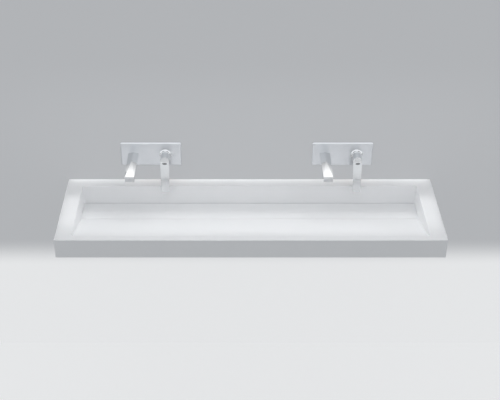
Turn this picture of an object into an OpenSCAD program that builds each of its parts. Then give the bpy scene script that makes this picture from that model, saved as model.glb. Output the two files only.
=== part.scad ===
// Wall-hung trough sink with a sloping floor, a slot drain under a lift-out cover,
// two wall-mounted lever taps, and the steel in-wall carrier that holds both.
// Frame: X along the wall, Y = 0 on the finished wall with the room at -Y, +Z up.
// Origin: middle of the four wall bolts, on the finished wall.

/* [Trough] */
// Length of the trough along the wall
trough_w = 1400; // [1200:10:1600]
// Depth of the trough from the wall to the front edge
trough_d = 400; // [360:5:460]
// Height of the apron around the outside
apron_h = 77; // [60:1:90]
// Thickness of the apron and of the rim slab
apron_t = 15; // [12:1:18]
// Width of the front rim
front_rim = 30; // [25:1:40]
// Width of each side rim
side_rim = 60; // [40:1:70]
// Width of the back rim
back_rim = 50; // [46:1:60]
// Depth of the bowl just behind the front rim
lip_h = 12; // [8:1:16]
// Depth of the bowl at the foot of the ramp
bowl_h = 80; // [70:1:90]
// Thickness of the bowl's walls and floor
shell_t = 12; // [10:1:14]
// Radius of the bowl's upright corners
bowl_r = 6; // [4:1:10]
// Radius of the trough's outer edges
edge_r = 2; // [1:0.5:3]

/* [Gutter and cover] */
// Distance from the back of the bowl to the foot of the ramp
cover_d = 100; // [90:1:110]
// Thickness of the drain cover
cover_t = 12; // [8:1:14]
// Width of the drain slot behind the cover
slot_w = 3; // [2:0.5:6]
// Joint between the cover and the ramp or the side walls
cover_gap = 0.5; // [0.3:0.1:1]
// Width of the ledge that carries the cover
ledge_w = 10; // [8:1:14]
// Depth of the gutter under the cover at its ends
gutter_end_h = 26; // [20:1:30]
// Extra depth of the gutter at the waste
gutter_fall = 6; // [3:1:10]
// Depth of each rest block under the cover's back edge, from the back wall
rest_d = 8; // [6:1:10]
// Length of each rest block
rest_l = 20; // [12:1:30]

/* [Brackets and carrier] */
// Distance from the trough's end to the bracket's wall bolts
bolt_inset = 150; // [120:5:170]
// Distance from the rim down to the middle of the wall bolts
bolt_drop = 155; // [150:1:170]
// Height between the upper and the lower wall bolt
bolt_spacing = 100; // [80:5:120]
// Radius of the wall bolts' holes
bolt_hole_r = 5.5; // [4.5:0.25:6.5]
// Thickness of the bracket's wall flange
flange_t = 8; // [6:1:10]
// Width of the bracket's wall flange
flange_w = 56; // [50:1:64]
// Thickness of the bracket's web and top strip
web_t = 6; // [4:1:8]
// Thickness of the rubber pad under the gutter
pad_t = 3; // [2:0.5:5]
// Height of the trough's fixing bosses
boss_h = 10; // [8:1:12]
// Radius of the trough's fixing bosses
boss_r = 14; // [12:1:16]
// Radius of the shank of the trough's fixing bolts
trough_bolt_r = 4; // [3:0.5:5]
// Thickness of the wall lining between the tiles' face and the carrier
lining_t = 22; // [15:1:30]
// Width of each upright tube
upright_w = 50; // [40:1:60]
// Depth of each upright tube
upright_d = 25; // [20:1:30]
// Wall thickness of the uprights and rails
steel_t = 2.5; // [2:0.5:3]
// Height of each rail
rail_h = 50; // [44:1:56]
// Depth of each rail's lips
rail_d = 15; // [12:1:20]
// Distance from the rim down to the middle of the pipe rail
pipe_rail_drop = 150; // [145:1:160]

/* [Waste and trap] */
// Radius of the waste's top flange
waste_r = 32; // [28:1:34]
// Outer radius of the waste's tail
tail_r = 20; // [18:0.5:22]
// Length of the waste's tail below its flange
tail_l = 58; // [50:1:70]
// Outer radius of the trap's pipes
pipe_r = 16; // [14:0.5:17]
// Wall thickness of the trap's pipes
pipe_t = 1.5; // [1:0.25:2]
// Outer radius of the trap's bottle
bottle_r = 31; // [28:1:36]
// Height of the trap's bottle
bottle_h = 63; // [55:1:75]
// Length of the outlet pipe behind the finished wall
outlet_l = 70; // [65:1:100]

/* [Taps] */
// Distance from the trough's left end to the middle of the left tap's plate
left_tap_inset = 325; // [310:1:350]
// Distance from the trough's right end to the middle of the right tap's plate
right_tap_inset = 348; // [320:1:370]
// Height of the taps' axis above the rim
tap_rise = 117; // [110:1:140]
// Length of each plate
plate_w = 230; // [220:1:250]
// Height of each plate
plate_h = 100; // [90:1:110]
// Thickness of each plate
plate_t = 8; // [6:1:10]
// Radius of the plates' corners
plate_r = 6; // [3:1:10]
// Distance from the plate's middle to the spout's axis
spout_side = 67; // [60:1:74]
// Distance from the plate's middle to the lever's axis
lever_side = 54; // [50:1:60]
// Reach of the spout from the finished wall to its tip
spout_l = 185; // [150:1:210]
// Height of the spout
spout_h = 22; // [21:1:26]
// Width of the spout at the plate
spout_base_w = 39; // [36:1:42]
// Width of the spout at the tip
spout_tip_w = 35; // [30:1:38]
// Length of the spout's ridge from the plate to the top facet
ridge_l = 55; // [40:1:80]
// How far the ridge drops towards the plate
ridge_drop = 1.5; // [1:0.25:2]
// How far the shoulders drop at the plate
shoulder_drop = 6; // [4:0.5:7]
// Radius of the aerator
aerator_r = 10.8; // [10:0.2:12]
// Outer radius of the ring around each lever
ring_r = 22.5; // [22:0.5:26]
// Thickness of the ring
ring_t = 3; // [2:0.5:3]
// Distance from the finished wall to the lever's pivot
pivot_out = 3; // [2:0.5:4]
// Radius of the turning dome
dome_r = 23.3; // [23:0.1:23.6]
// Radius of the lever's hub
hub_r = 17; // [15:0.5:17]
// Distance from the finished wall to the hub's front
hub_l = 58; // [52:1:64]
// Width of the lever's blade at the hub
blade_top_w = 34; // [28:1:34]
// Width of the lever's blade at its free end
blade_end_w = 29; // [24:1:32]
// Thickness of the blade
blade_t = 5; // [4:0.5:6]
// Length of the blade below the lever's axis
blade_l = 126; // [100:1:130]
// Slant of the blade away from the wall, in degrees
blade_slant = 12; // [8:1:16]
// Outer radius of the cartridge
cartridge_r = 17; // [16:0.5:18]
// Radius of the turning carrier inside the cartridge
carrier_r = 11.95; // [11.5:0.05:12.2]
// Side of the square stem
stem_w = 8; // [7:0.5:8]
// Outer radius of the supply pipes
supply_r = 7.5; // [6:0.5:8]
// Wall thickness of the supply pipes
supply_t = 1; // [0.8:0.1:1.5]
// Length of the supply pipes
supply_l = 349; // [330:1:400]

/* [Fits] */
// Radial clearance of a shaft that turns in its hole
running_fit = 0.05; // [0.02:0.01:0.08]
// Gap between faces that move past each other
moving_gap = 0.3; // [0.3:0.1:0.6]
// Radial clearance of a pipe or bolt in its hole
slip_fit = 0.3; // [0.2:0.1:0.5]
// Clearance on each side of the lever's square stem
stem_fit = 0.1; // [0.05:0.05:0.2]

/* [Hidden] */
$fn = 64;
cut = 1;

// Levels
rim_z = bolt_drop;
apron_z = rim_z - apron_h;
cover_z = rim_z - bowl_h;
ledge_z = cover_z - cover_t;
gutter_end_z = ledge_z - gutter_end_h;
gutter_z = gutter_end_z - gutter_fall;
underside_z = gutter_z - shell_t;

// Bowl and gutter
bowl_x = trough_w / 2 - side_rim;
bowl_front_y = -(trough_d - front_rim);
foot_y = -(back_rim + cover_d);
gutter_front_y = foot_y + ledge_w;
gutter_front_out_y = gutter_front_y - shell_t;
gutter_mid_y = (gutter_front_y - back_rim) / 2;
ramp_run = foot_y - bowl_front_y;
ramp_drop = bowl_h - lip_h;
ramp_angle = atan2(ramp_drop, ramp_run);
rest_x = [-0.66, -0.22, 0.22, 0.66];
waste_land = 8;

// Height of the ramp's face, or of a line at a depth under it, at a distance from the wall
function ramp_z(y, under = 0) =
    rim_z - lip_h - (y - bowl_front_y) * ramp_drop / ramp_run - under / cos(ramp_angle);

// Brackets
bolt_x = trough_w / 2 - bolt_inset;
web_x = flange_w / 2;
strip_w = 34;
strip_back_gap = 8;
strip_front_gap = 25;
strip_back_y = gutter_front_out_y - strip_back_gap;
strip_front_y = bowl_front_y + strip_front_gap;
flange_gap = 5;
flange_end = 25;
flange_top_z = apron_z - flange_gap;
flange_bottom_z = -bolt_spacing / 2 - flange_end;
tip_h = 16;
boss_y = (strip_back_y + strip_front_y) / 2;
boss_x = bolt_x + web_x - strip_w / 2;
trough_bolt_l = 12;
trough_bolt_head_r = 2 * trough_bolt_r;
trough_bolt_head_h = 5.3;

// Carrier
upright_y = lining_t;
rail_y = upright_y + upright_d;
upright_over = 33;
upright_under = 10;
upright_top_z = rim_z + tap_rise + upright_over;
upright_bottom_z = flange_bottom_z - upright_under;
mixer_rail_z = rim_z + tap_rise;
pipe_rail_z = rim_z - pipe_rail_drop;
sleeve_r = 12;
rail_bolt_r = 4;
rail_bolt_l = 12;
rail_bolt_head_r = 7.2;
rail_bolt_head_h = 5.3;
rail_bolt_spacing = 26;

// Waste and trap
seal_t = 2;
seal_inset_r = 1;
recess_fit = 1;
waste_flange_t = 3;
waste_recess_h = seal_t + waste_flange_t;
tail_t = 3.5;
tail_end_z = gutter_z - waste_flange_t - tail_l;
back_seal_t = 3;
back_nut_h = 10;
back_nut_r = waste_r - seal_inset_r;
grid_r = 3.5;
dip_in_tail = 20;
dip_top_z = tail_end_z + dip_in_tail;
pipe_seal_t = 4;
trap_nut_h = 22;
trap_nut_t = 5;
trap_nut_r = tail_r + trap_nut_t;
bottle_gap = 20;
bottle_top_z = tail_end_z - bottle_gap;
bottle_bottom_z = bottle_top_z - bottle_h;
bottle_t = 2.5;
dip_gap = 8;
dip_end_z = bottle_bottom_z + dip_gap;
outlet_z = bottle_top_z - bottle_t - tail_r;
stub_l = 24;
stub_end_y = gutter_mid_y + bottle_r + stub_l;
outlet_in_stub = 16;
outlet_start_y = stub_end_y - outlet_in_stub;
cup_h = 26;
cup_lap = 12;
cup_t = 3;
cup_floor_t = 4;
rosette_r = 36;
rosette_t = 6;
bead_h = 1;
bead_w = 3;
bead_y = 8;

// Taps
left_tap_x = -trough_w / 2 + left_tap_inset;
right_tap_x = trough_w / 2 - right_tap_inset;
tap_z = rim_z + tap_rise;
pipe_y = 24;
body_back_y = rail_y;
body_plate_t = 4;
chamber_r = 24;
cartridge_l = 36;
port_r = 5;
arm_r = 11;
inlet_side = 20;
inlet_drop = 45;
inlet_nut_r = 13;
inlet_nut_h = 12;
tail_thread_r = 10.48;
tail_thread_l = 14;
socket_depth = 15;
nipple_r = 7.5;
nipple_t = 2;
nipple_in = 20;
spout_boss_r = 15;
spout_boss_depth = 30;
channel_r = 6;
aerator_in = 20;
aerator_h = 9;
seal_groove_w = 3;
seal_groove_h = 2;
seal_inset = 4;
ring_bevel = 1;
hub_bevel = 1.5;
hub_gap = 0.7;
hub_sphere_r = dome_r + hub_gap;
ring_front_y = -(plate_t + ring_t);
dome_back_y = ring_front_y - moving_gap;
carrier_end_y = 19;
stem_end_y = 8;
stem_in_hub = 42;
pin_r = 1.5;
pin_recess = 1;
jet_r = 2;
lever_travel = 22;
grub_r = 2.5;
grub_l = 6;
body_screw_r = 3;
body_screw_head_r = 5;
body_screw_head_h = 3;
body_screw_rise = 15;
body_plate_h = 50;
body_plate_end = 34;
clip_w = 24;
clip_h = 20;
clip_t = 3;

module across(w) { rotate([90, 0, 90]) linear_extrude(height = w, center = true) children(); }

module along_y(y0, y1) {
    translate([0, y1, 0]) rotate([90, 0, 0]) linear_extrude(height = y1 - y0) children();
}

module rod_y(r, y0, y1) {
    translate([0, y1, 0]) rotate([90, 0, 0]) cylinder(r = r, h = y1 - y0);
}

module rod_x(r, x0, x1) {
    translate([x0, 0, 0]) rotate([0, 90, 0]) cylinder(r = r, h = x1 - x0);
}

module tube_z(r, bore, z0, z1) {
    translate([0, 0, z0]) difference() {
        cylinder(r = r, h = z1 - z0);
        translate([0, 0, -cut]) cylinder(r = bore, h = z1 - z0 + 2 * cut);
    }
}

module tube_y(r, bore, y0, y1) {
    difference() {
        rod_y(r, y0, y1);
        rod_y(bore, y0 - cut, y1 + cut);
    }
}

// Rectangle between two corners, with every corner rounded
module rounded_box_2d(x0, y0, x1, y1, r) {
    translate([x0 + r, y0]) square([x1 - x0 - 2 * r, y1 - y0]);
    translate([x0, y0 + r]) square([x1 - x0, y1 - y0 - 2 * r]);
    for (x = [x0 + r, x1 - r], y = [y0 + r, y1 - r]) translate([x, y]) circle(r = r);
}

module both_sides() { for (side = [-1, 1]) scale_side(side) children(); }

module scale_side(side) { mirror([side < 0 ? 1 : 0, 0, 0]) children(); }

// ---- Trough ----

module trough_block() {
    intersection() {
        translate([0, 0, apron_z]) linear_extrude(height = apron_h)
            rounded_box_2d(-trough_w / 2, -trough_d, trough_w / 2, 0, edge_r);
        along_y(-trough_d, 0)
            rounded_box_2d(-trough_w / 2, apron_z - 2 * edge_r, trough_w / 2, rim_z, edge_r);
        across(trough_w)
            rounded_box_2d(-trough_d, apron_z - 2 * edge_r, 0, rim_z, edge_r);
    }
}

module under_rim_space() {
    translate([-trough_w / 2 + apron_t, -trough_d + apron_t, apron_z - cut])
        cube([trough_w - 2 * apron_t, trough_d - 2 * apron_t, apron_h - apron_t + cut]);
}

module bowl_shell() {
    front_y = bowl_front_y - shell_t;
    back_y = -back_rim + shell_t;
    slab_z = rim_z - apron_t / 2;
    across(2 * (bowl_x + shell_t)) polygon([
        [front_y, slab_z],
        [front_y, ramp_z(front_y, shell_t)],
        [gutter_front_out_y, ramp_z(gutter_front_out_y, shell_t)],
        [gutter_front_out_y, underside_z],
        [back_y, underside_z],
        [back_y, slab_z],
    ]);
}

module bowl_space() {
    intersection() {
        across(2 * bowl_x) polygon([
            [bowl_front_y, rim_z + cut],
            [bowl_front_y, rim_z - lip_h],
            [foot_y, cover_z],
            [foot_y, ledge_z],
            [-back_rim, ledge_z],
            [-back_rim, rim_z + cut],
        ]);
        translate([0, 0, underside_z]) linear_extrude(height = rim_z - underside_z + cut)
            rounded_box_2d(-bowl_x, bowl_front_y, bowl_x, -back_rim, bowl_r);
    }
}

module gutter_space() {
    end_x = bowl_x - ledge_w;
    flat_x = waste_r + waste_land;
    along_y(gutter_front_y, -back_rim) polygon([
        [-end_x, ledge_z + cut],
        [-end_x, gutter_end_z],
        [-flat_x, gutter_z],
        [flat_x, gutter_z],
        [end_x, gutter_end_z],
        [end_x, ledge_z + cut],
    ]);
}

module cover_rests() {
    for (share = rest_x)
        translate([share * bowl_x - rest_l / 2, -back_rim - rest_d, gutter_z - cut])
            cube([rest_l, rest_d + cut, ledge_z - gutter_z + cut]);
}

// Places its children on the ramp's underside, with +Z square to the ramp
module on_ramp_underside(x, y) {
    translate([x, y, ramp_z(y, shell_t)]) rotate([-ramp_angle, 0, 0]) children();
}

module trough() {
    color("whitesmoke") difference() {
        union() {
            difference() {
                union() {
                    difference() {
                        trough_block();
                        under_rim_space();
                    }
                    bowl_shell();
                }
                bowl_space();
                gutter_space();
            }
            cover_rests();
            both_sides() on_ramp_underside(boss_x, boss_y)
                translate([0, 0, -boss_h]) cylinder(r = boss_r, h = boss_h + shell_t / 2);
        }
        translate([0, gutter_mid_y, underside_z - cut])
            cylinder(r = tail_r + slip_fit, h = shell_t + 2 * cut);
        translate([0, gutter_mid_y, gutter_z - waste_recess_h])
            cylinder(r = waste_r + recess_fit, h = waste_recess_h + cut);
        both_sides() on_ramp_underside(boss_x, boss_y)
            translate([0, 0, -boss_h - cut]) cylinder(r = trough_bolt_r, h = trough_bolt_l + cut);
    }
}

module drain_cover() {
    color("white") translate([0, 0, ledge_z]) linear_extrude(height = cover_t)
        rounded_box_2d(-bowl_x + cover_gap, foot_y + cover_gap,
            bowl_x - cover_gap, -back_rim - slot_w, bowl_r);
}

// ---- Brackets ----

module bracket_web() {
    gutter_top_z = underside_z - pad_t;
    rise_y = strip_back_y;
    reach = shell_t + boss_h;
    polygon([
        [-flange_t, gutter_top_z],
        [rise_y, gutter_top_z],
        [rise_y, ramp_z(rise_y, reach)],
        [strip_front_y, ramp_z(strip_front_y, reach)],
        [strip_front_y, ramp_z(strip_front_y, reach) - tip_h],
        [-flange_t, flange_bottom_z],
    ]);
}

module bracket() {
    reach = shell_t + boss_h;
    gutter_top_z = underside_z - pad_t;
    color("slategray") difference() {
        union() {
            translate([bolt_x - flange_w / 2, -flange_t, flange_bottom_z])
                cube([flange_w, flange_t, flange_top_z - flange_bottom_z]);
            translate([bolt_x + web_x - web_t / 2, 0, 0]) across(web_t) bracket_web();
            translate([bolt_x + web_x - strip_w / 2, 0, 0]) across(strip_w) polygon([
                [strip_back_y, ramp_z(strip_back_y, reach)],
                [strip_front_y, ramp_z(strip_front_y, reach)],
                [strip_front_y, ramp_z(strip_front_y, reach + web_t)],
                [strip_back_y, ramp_z(strip_back_y, reach + web_t)],
            ]);
            translate([bolt_x + web_x - strip_w, strip_back_y, gutter_top_z - web_t])
                cube([strip_w, -strip_back_y - flange_t, web_t]);
        }
        for (z = [-1, 1] * bolt_spacing / 2)
            translate([bolt_x, 0, z]) rod_y(bolt_hole_r, -flange_t - cut, cut);
        on_ramp_underside(boss_x, boss_y)
            translate([0, 0, -boss_h - web_t - cut])
                cylinder(r = trough_bolt_r + slip_fit, h = web_t + 2 * cut);
    }
}

module left_bracket() { scale_side(-1) bracket(); }

module right_bracket() { scale_side(1) bracket(); }

module bracket_pads() {
    color("dimgray") both_sides()
        translate([bolt_x + web_x - strip_w, gutter_front_out_y, underside_z - pad_t])
            cube([strip_w, -gutter_front_out_y - back_rim + shell_t, pad_t]);
}

module trough_bolts() {
    color("silver") both_sides() on_ramp_underside(boss_x, boss_y)
        translate([0, 0, -boss_h - web_t]) {
            cylinder(r = trough_bolt_r, h = web_t + trough_bolt_l);
            translate([0, 0, -trough_bolt_head_h])
                cylinder(r = trough_bolt_head_r, h = trough_bolt_head_h, $fn = 6);
        }
}

module spacer_sleeves() {
    color("silver") both_sides() for (z = [-1, 1] * bolt_spacing / 2)
        translate([bolt_x, 0, z]) tube_y(sleeve_r, bolt_hole_r, 0, lining_t);
}

// ---- In-wall carrier ----

module upright() {
    color("steelblue") difference() {
        translate([bolt_x - upright_w / 2, upright_y, upright_bottom_z])
            cube([upright_w, upright_d, upright_top_z - upright_bottom_z]);
        translate([bolt_x - upright_w / 2 + steel_t, upright_y + steel_t, upright_bottom_z - cut])
            cube([upright_w - 2 * steel_t, upright_d - 2 * steel_t,
                upright_top_z - upright_bottom_z + 2 * cut]);
        for (z = [-1, 1] * bolt_spacing / 2)
            translate([bolt_x, 0, z]) rod_y(bolt_hole_r, upright_y - cut, rail_y + cut);
        rail_bolt_places()
            rod_y(rail_bolt_r + running_fit, rail_y - steel_t - cut, rail_y + cut);
    }
}

module left_upright() { scale_side(-1) upright(); }

module right_upright() { scale_side(1) upright(); }

module rail_bolt_places() {
    for (z = [mixer_rail_z, pipe_rail_z], side = [-1, 1] * rail_bolt_spacing / 2)
        translate([bolt_x + side, 0, z]) children();
}

module rail(z) {
    color("steelblue") difference() {
        across(2 * bolt_x + upright_w) difference() {
            translate([rail_y, z - rail_h / 2]) square([rail_d, rail_h]);
            translate([rail_y + steel_t, z - rail_h / 2 + steel_t])
                square([rail_d, rail_h - 2 * steel_t]);
        }
        both_sides() rail_bolt_places()
            rod_y(rail_bolt_r + running_fit, rail_y - cut, rail_y + steel_t + cut);
    }
}

module mixer_rail() {
    difference() {
        rail(mixer_rail_z);
        for (x = [left_tap_x, right_tap_x]) translate([x, 0, tap_z]) body_screw_places()
            rod_y(body_screw_r, rail_y - cut, rail_y + steel_t + cut);
    }
}

module pipe_rail() { rail(pipe_rail_z); }

module rail_bolts() {
    head_y = rail_y + steel_t;
    color("silver") both_sides() rail_bolt_places() {
        rod_y(rail_bolt_r, head_y - rail_bolt_l, head_y);
        translate([0, head_y + rail_bolt_head_h, 0]) rotate([90, 0, 0])
            cylinder(r = rail_bolt_head_r, h = rail_bolt_head_h, $fn = 6);
    }
}

// ---- Waste and trap ----

module at_waste() { translate([0, gutter_mid_y, 0]) children(); }

module waste_fitting() {
    color("silver") at_waste() difference() {
        union() {
            translate([0, 0, gutter_z - waste_flange_t]) cylinder(r = waste_r, h = waste_flange_t);
            translate([0, 0, tail_end_z]) cylinder(r = tail_r, h = tail_l + cut);
        }
        translate([0, 0, tail_end_z - cut])
            cylinder(r = tail_r - tail_t, h = tail_l + cut);
        translate([0, 0, gutter_z - 2 * waste_flange_t]) {
            cylinder(r = grid_r, h = 3 * waste_flange_t);
            for (turn = [0:60:300]) rotate([0, 0, turn]) translate([3 * grid_r, 0, 0])
                cylinder(r = grid_r, h = 3 * waste_flange_t);
        }
    }
}

module waste_top_seal() {
    color("dimgray") at_waste() tube_z(waste_r - seal_inset_r, tail_r + running_fit,
        gutter_z - waste_recess_h, gutter_z - waste_flange_t);
}

module waste_back_seal() {
    color("dimgray") at_waste()
        tube_z(waste_r - 2 * seal_inset_r, tail_r + running_fit,
            underside_z - back_seal_t, underside_z);
}

module waste_nut() {
    top_z = underside_z - back_seal_t;
    color("silver") at_waste() difference() {
        translate([0, 0, top_z - back_nut_h]) cylinder(r = back_nut_r, h = back_nut_h, $fn = 8);
        translate([0, 0, top_z - back_nut_h - cut])
            cylinder(r = tail_r + running_fit, h = back_nut_h + 2 * cut);
    }
}

module trap_nut() {
    difference() {
        cylinder(r = trap_nut_r, h = trap_nut_h);
        translate([0, 0, pipe_seal_t])
            cylinder(r = tail_r + running_fit, h = trap_nut_h);
        translate([0, 0, -cut]) cylinder(r = pipe_r + slip_fit, h = trap_nut_h);
    }
}

module trap_inlet_nut() {
    color("silver") at_waste()
        translate([0, 0, tail_end_z - 2 * pipe_seal_t]) trap_nut();
}

module trap_outlet_nut() {
    color("silver") translate([0, stub_end_y + 2 * pipe_seal_t, outlet_z])
        rotate([90, 0, 0]) trap_nut();
}

module trap_seals() {
    color("dimgray") {
        at_waste() tube_z(tail_r, pipe_r + running_fit, tail_end_z - pipe_seal_t, tail_end_z);
        translate([0, 0, outlet_z])
            tube_y(tail_r, pipe_r + running_fit, stub_end_y, stub_end_y + pipe_seal_t);
    }
}

module trap_inlet_pipe() {
    color("silver") at_waste() tube_z(pipe_r, pipe_r - pipe_t, dip_end_z, dip_top_z);
}

module trap_outlet_pipe() {
    color("silver") translate([0, 0, outlet_z]) {
        tube_y(pipe_r, pipe_r - pipe_t, outlet_start_y, outlet_l);
        tube_y(pipe_r + bead_h, pipe_r - pipe_t, bead_y, bead_y + bead_w);
    }
}

module trap_bottle() {
    color("silver") difference() {
        union() {
            at_waste() translate([0, 0, bottle_bottom_z]) cylinder(r = bottle_r, h = bottle_h);
            translate([0, 0, outlet_z]) rod_y(tail_r, gutter_mid_y, stub_end_y);
        }
        at_waste() translate([0, 0, bottle_bottom_z - cut])
            cylinder(r = bottle_r - bottle_t, h = bottle_h - bottle_t + cut);
        at_waste() translate([0, 0, bottle_bottom_z])
            cylinder(r = pipe_r + running_fit, h = bottle_h + cut);
        translate([0, 0, outlet_z])
            rod_y(pipe_r + slip_fit, gutter_mid_y, stub_end_y + cut);
    }
}

module trap_cup() {
    color("silver") at_waste() difference() {
        translate([0, 0, bottle_bottom_z + cup_lap - cup_h])
            cylinder(r = bottle_r + cup_t, h = cup_h);
        translate([0, 0, bottle_bottom_z])
            cylinder(r = bottle_r + running_fit, h = cup_lap + cut);
        translate([0, 0, bottle_bottom_z + cup_lap - cup_h + cup_floor_t])
            cylinder(r = bottle_r - bottle_t, h = cup_h);
    }
}

module wall_rosette() {
    color("silver") translate([0, 0, outlet_z]) rotate([90, 0, 0]) rotate_extrude() polygon([
        [pipe_r + slip_fit, 0],
        [rosette_r, 0],
        [rosette_r - rosette_t / 2, rosette_t / 2],
        [pipe_r + rosette_t, rosette_t],
        [pipe_r + slip_fit, rosette_t],
    ]);
}

// ---- Taps: still pieces ----

// Places its children on a tap's spout axis or lever axis, from the tap's plate
module at_spout(tap_x) { translate([tap_x - spout_side, 0, tap_z]) children(); }

module at_lever(tap_x) { translate([tap_x + lever_side, 0, tap_z]) children(); }

module plate_seal_2d(grow) {
    half_w = plate_w / 2 - seal_inset;
    half_h = plate_h / 2 - seal_inset;
    difference() {
        square([2 * (half_w + grow), 2 * (half_h + grow)], center = true);
        square(2 * [half_w - seal_groove_w - grow, half_h - seal_groove_w - grow], center = true);
    }
}

module tap_plate(tap_x) {
    color("gainsboro") difference() {
        translate([tap_x, 0, tap_z]) along_y(-plate_t, 0)
            rounded_box_2d(-plate_w / 2, -plate_h / 2, plate_w / 2, plate_h / 2, plate_r);
        translate([tap_x, 0, tap_z]) along_y(-seal_groove_h, cut) plate_seal_2d(0);
        at_spout(tap_x) rod_y(nipple_r + slip_fit, -plate_t - cut, cut);
        at_lever(tap_x) rod_y(cartridge_r + slip_fit, -plate_t - cut, cut);
    }
}

module plate_seal(tap_x) {
    color("dimgray") translate([tap_x, 0, tap_z]) along_y(-seal_groove_h, 0) plate_seal_2d(0);
}

// Flat-bottomed bar whose ridge opens into one flat facet towards the tip
module spout_solid() {
    base_y = -plate_t;
    tip_y = -spout_l;
    base_x = spout_base_w / 2;
    tip_x = spout_tip_w / 2;
    top = spout_h / 2;
    polyhedron(
        points = [
            [-base_x, base_y, -top], [base_x, base_y, -top],
            [base_x, base_y, top - shoulder_drop], [0, base_y, top - ridge_drop],
            [-base_x, base_y, top - shoulder_drop],
            [-tip_x, tip_y, -top], [tip_x, tip_y, -top], [tip_x, tip_y, top], [-tip_x, tip_y, top],
            [0, base_y - ridge_l, top],
        ],
        faces = [
            [0, 1, 2, 3, 4], [8, 7, 6, 5], [5, 6, 1, 0],
            [1, 6, 7, 2], [0, 4, 8, 5],
            [9, 3, 2], [9, 2, 7], [9, 4, 3], [9, 8, 4], [9, 7, 8],
        ]);
}

module spout(tap_x) {
    outlet_y = -spout_l + aerator_in;
    color("silver") at_spout(tap_x) difference() {
        spout_solid();
        rod_y(nipple_r + running_fit, -plate_t - nipple_in, -plate_t + cut);
        rod_y(channel_r, outlet_y, -plate_t);
        translate([0, outlet_y, -spout_h / 2 - cut])
            cylinder(r = aerator_r + running_fit, h = aerator_h + cut);
        translate([0, outlet_y, -spout_h / 2]) cylinder(r = channel_r, h = spout_h / 2);
    }
}

module spout_nipple(tap_x) {
    color("goldenrod") at_spout(tap_x)
        tube_y(nipple_r, nipple_r - nipple_t, -plate_t - nipple_in, spout_boss_depth);
}

module aerator(tap_x) {
    color("silver") at_spout(tap_x)
        translate([0, -spout_l + aerator_in, -spout_h / 2]) difference() {
            cylinder(r = aerator_r, h = aerator_h);
            translate([0, 0, -cut]) {
                cylinder(r = jet_r, h = aerator_h + 2 * cut);
                for (turn = [0:60:300]) rotate([0, 0, turn]) translate([3 * jet_r, 0, 0])
                    cylinder(r = jet_r, h = aerator_h + 2 * cut);
            }
        }
}

module lever_ring(tap_x) {
    color("silver") at_lever(tap_x) rotate([90, 0, 0]) rotate_extrude() polygon([
        [carrier_r + slip_fit, plate_t],
        [ring_r, plate_t],
        [ring_r, plate_t + ring_t - ring_bevel],
        [ring_r - ring_bevel, plate_t + ring_t],
        [carrier_r + slip_fit, plate_t + ring_t],
    ]);
}

module cartridge(tap_x) {
    color("lightgray") at_lever(tap_x) difference() {
        rod_y(cartridge_r, -plate_t, cartridge_l);
        rod_y(carrier_r + running_fit, -plate_t - cut, carrier_end_y + moving_gap);
        for (turn = [90:120:330]) rotate([0, turn, 0]) translate([carrier_r - port_r, 0, 0])
            rod_y(port_r / 2, carrier_end_y, cartridge_l + cut);
    }
}

module body_screw_places() {
    for (x = [-spout_side - body_plate_end / 2, lever_side + body_plate_end],
            z = [-1, 1] * body_screw_rise)
        translate([x, 0, z]) children();
}

module valve_body(tap_x) {
    left_x = -spout_side - body_plate_end;
    right_x = lever_side + body_plate_end + 2 * body_screw_head_r;
    color("goldenrod") difference() {
        union() {
            translate([tap_x + left_x, body_back_y - body_plate_t, tap_z - body_plate_h / 2])
                cube([right_x - left_x, body_plate_t, body_plate_h]);
            at_lever(tap_x) {
                rod_y(chamber_r, 0, body_back_y);
                translate([0, pipe_y, 0]) {
                    rod_x(arm_r, -spout_side - lever_side, 0);
                    for (x = [-1, 1] * inlet_side) translate([x, 0, -inlet_drop])
                        cylinder(r = arm_r, h = inlet_drop);
                }
            }
            at_spout(tap_x) rod_y(spout_boss_r, 0, body_back_y);
        }
        at_lever(tap_x) {
            rod_y(cartridge_r + running_fit, -cut, cartridge_l);
            translate([0, pipe_y, 0]) {
                rod_x(port_r, -spout_side - lever_side, 0);
                for (x = [-1, 1] * inlet_side) translate([x, 0, -inlet_drop - cut]) {
                    cylinder(r = port_r, h = inlet_drop + cut);
                    cylinder(r = supply_r + running_fit, h = socket_depth + cut);
                }
            }
        }
        at_spout(tap_x) rod_y(nipple_r + running_fit, -cut, spout_boss_depth);
        translate([tap_x, 0, tap_z]) body_screw_places()
            rod_y(body_screw_r, body_back_y - body_plate_t - cut, body_back_y + cut);
    }
}

module body_screws() {
    front_y = body_back_y - body_plate_t;
    color("silver") for (tap_x = [left_tap_x, right_tap_x])
        translate([tap_x, 0, tap_z]) body_screw_places() {
            rod_y(body_screw_r, front_y, rail_y + 2 * steel_t);
            rod_y(body_screw_head_r, front_y - body_screw_head_h, front_y);
        }
}

// Places its children at the mouth of each of a tap's two inlets
module at_inlets(tap_x) {
    at_lever(tap_x) for (x = [-1, 1] * inlet_side)
        translate([x, pipe_y, -inlet_drop]) children();
}

module supply_pipes(tap_x) {
    color("peru") at_inlets(tap_x)
        tube_z(supply_r, supply_r - supply_t, socket_depth - supply_l, socket_depth);
}

module inlet_nuts() {
    color("goldenrod") for (tap_x = [left_tap_x, right_tap_x]) at_inlets(tap_x)
        translate([0, 0, -inlet_nut_h]) difference() {
            cylinder(r = inlet_nut_r, h = inlet_nut_h, $fn = 6);
            translate([0, 0, -cut])
                cylinder(r = supply_r + running_fit, h = inlet_nut_h + 2 * cut);
        }
}

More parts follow.
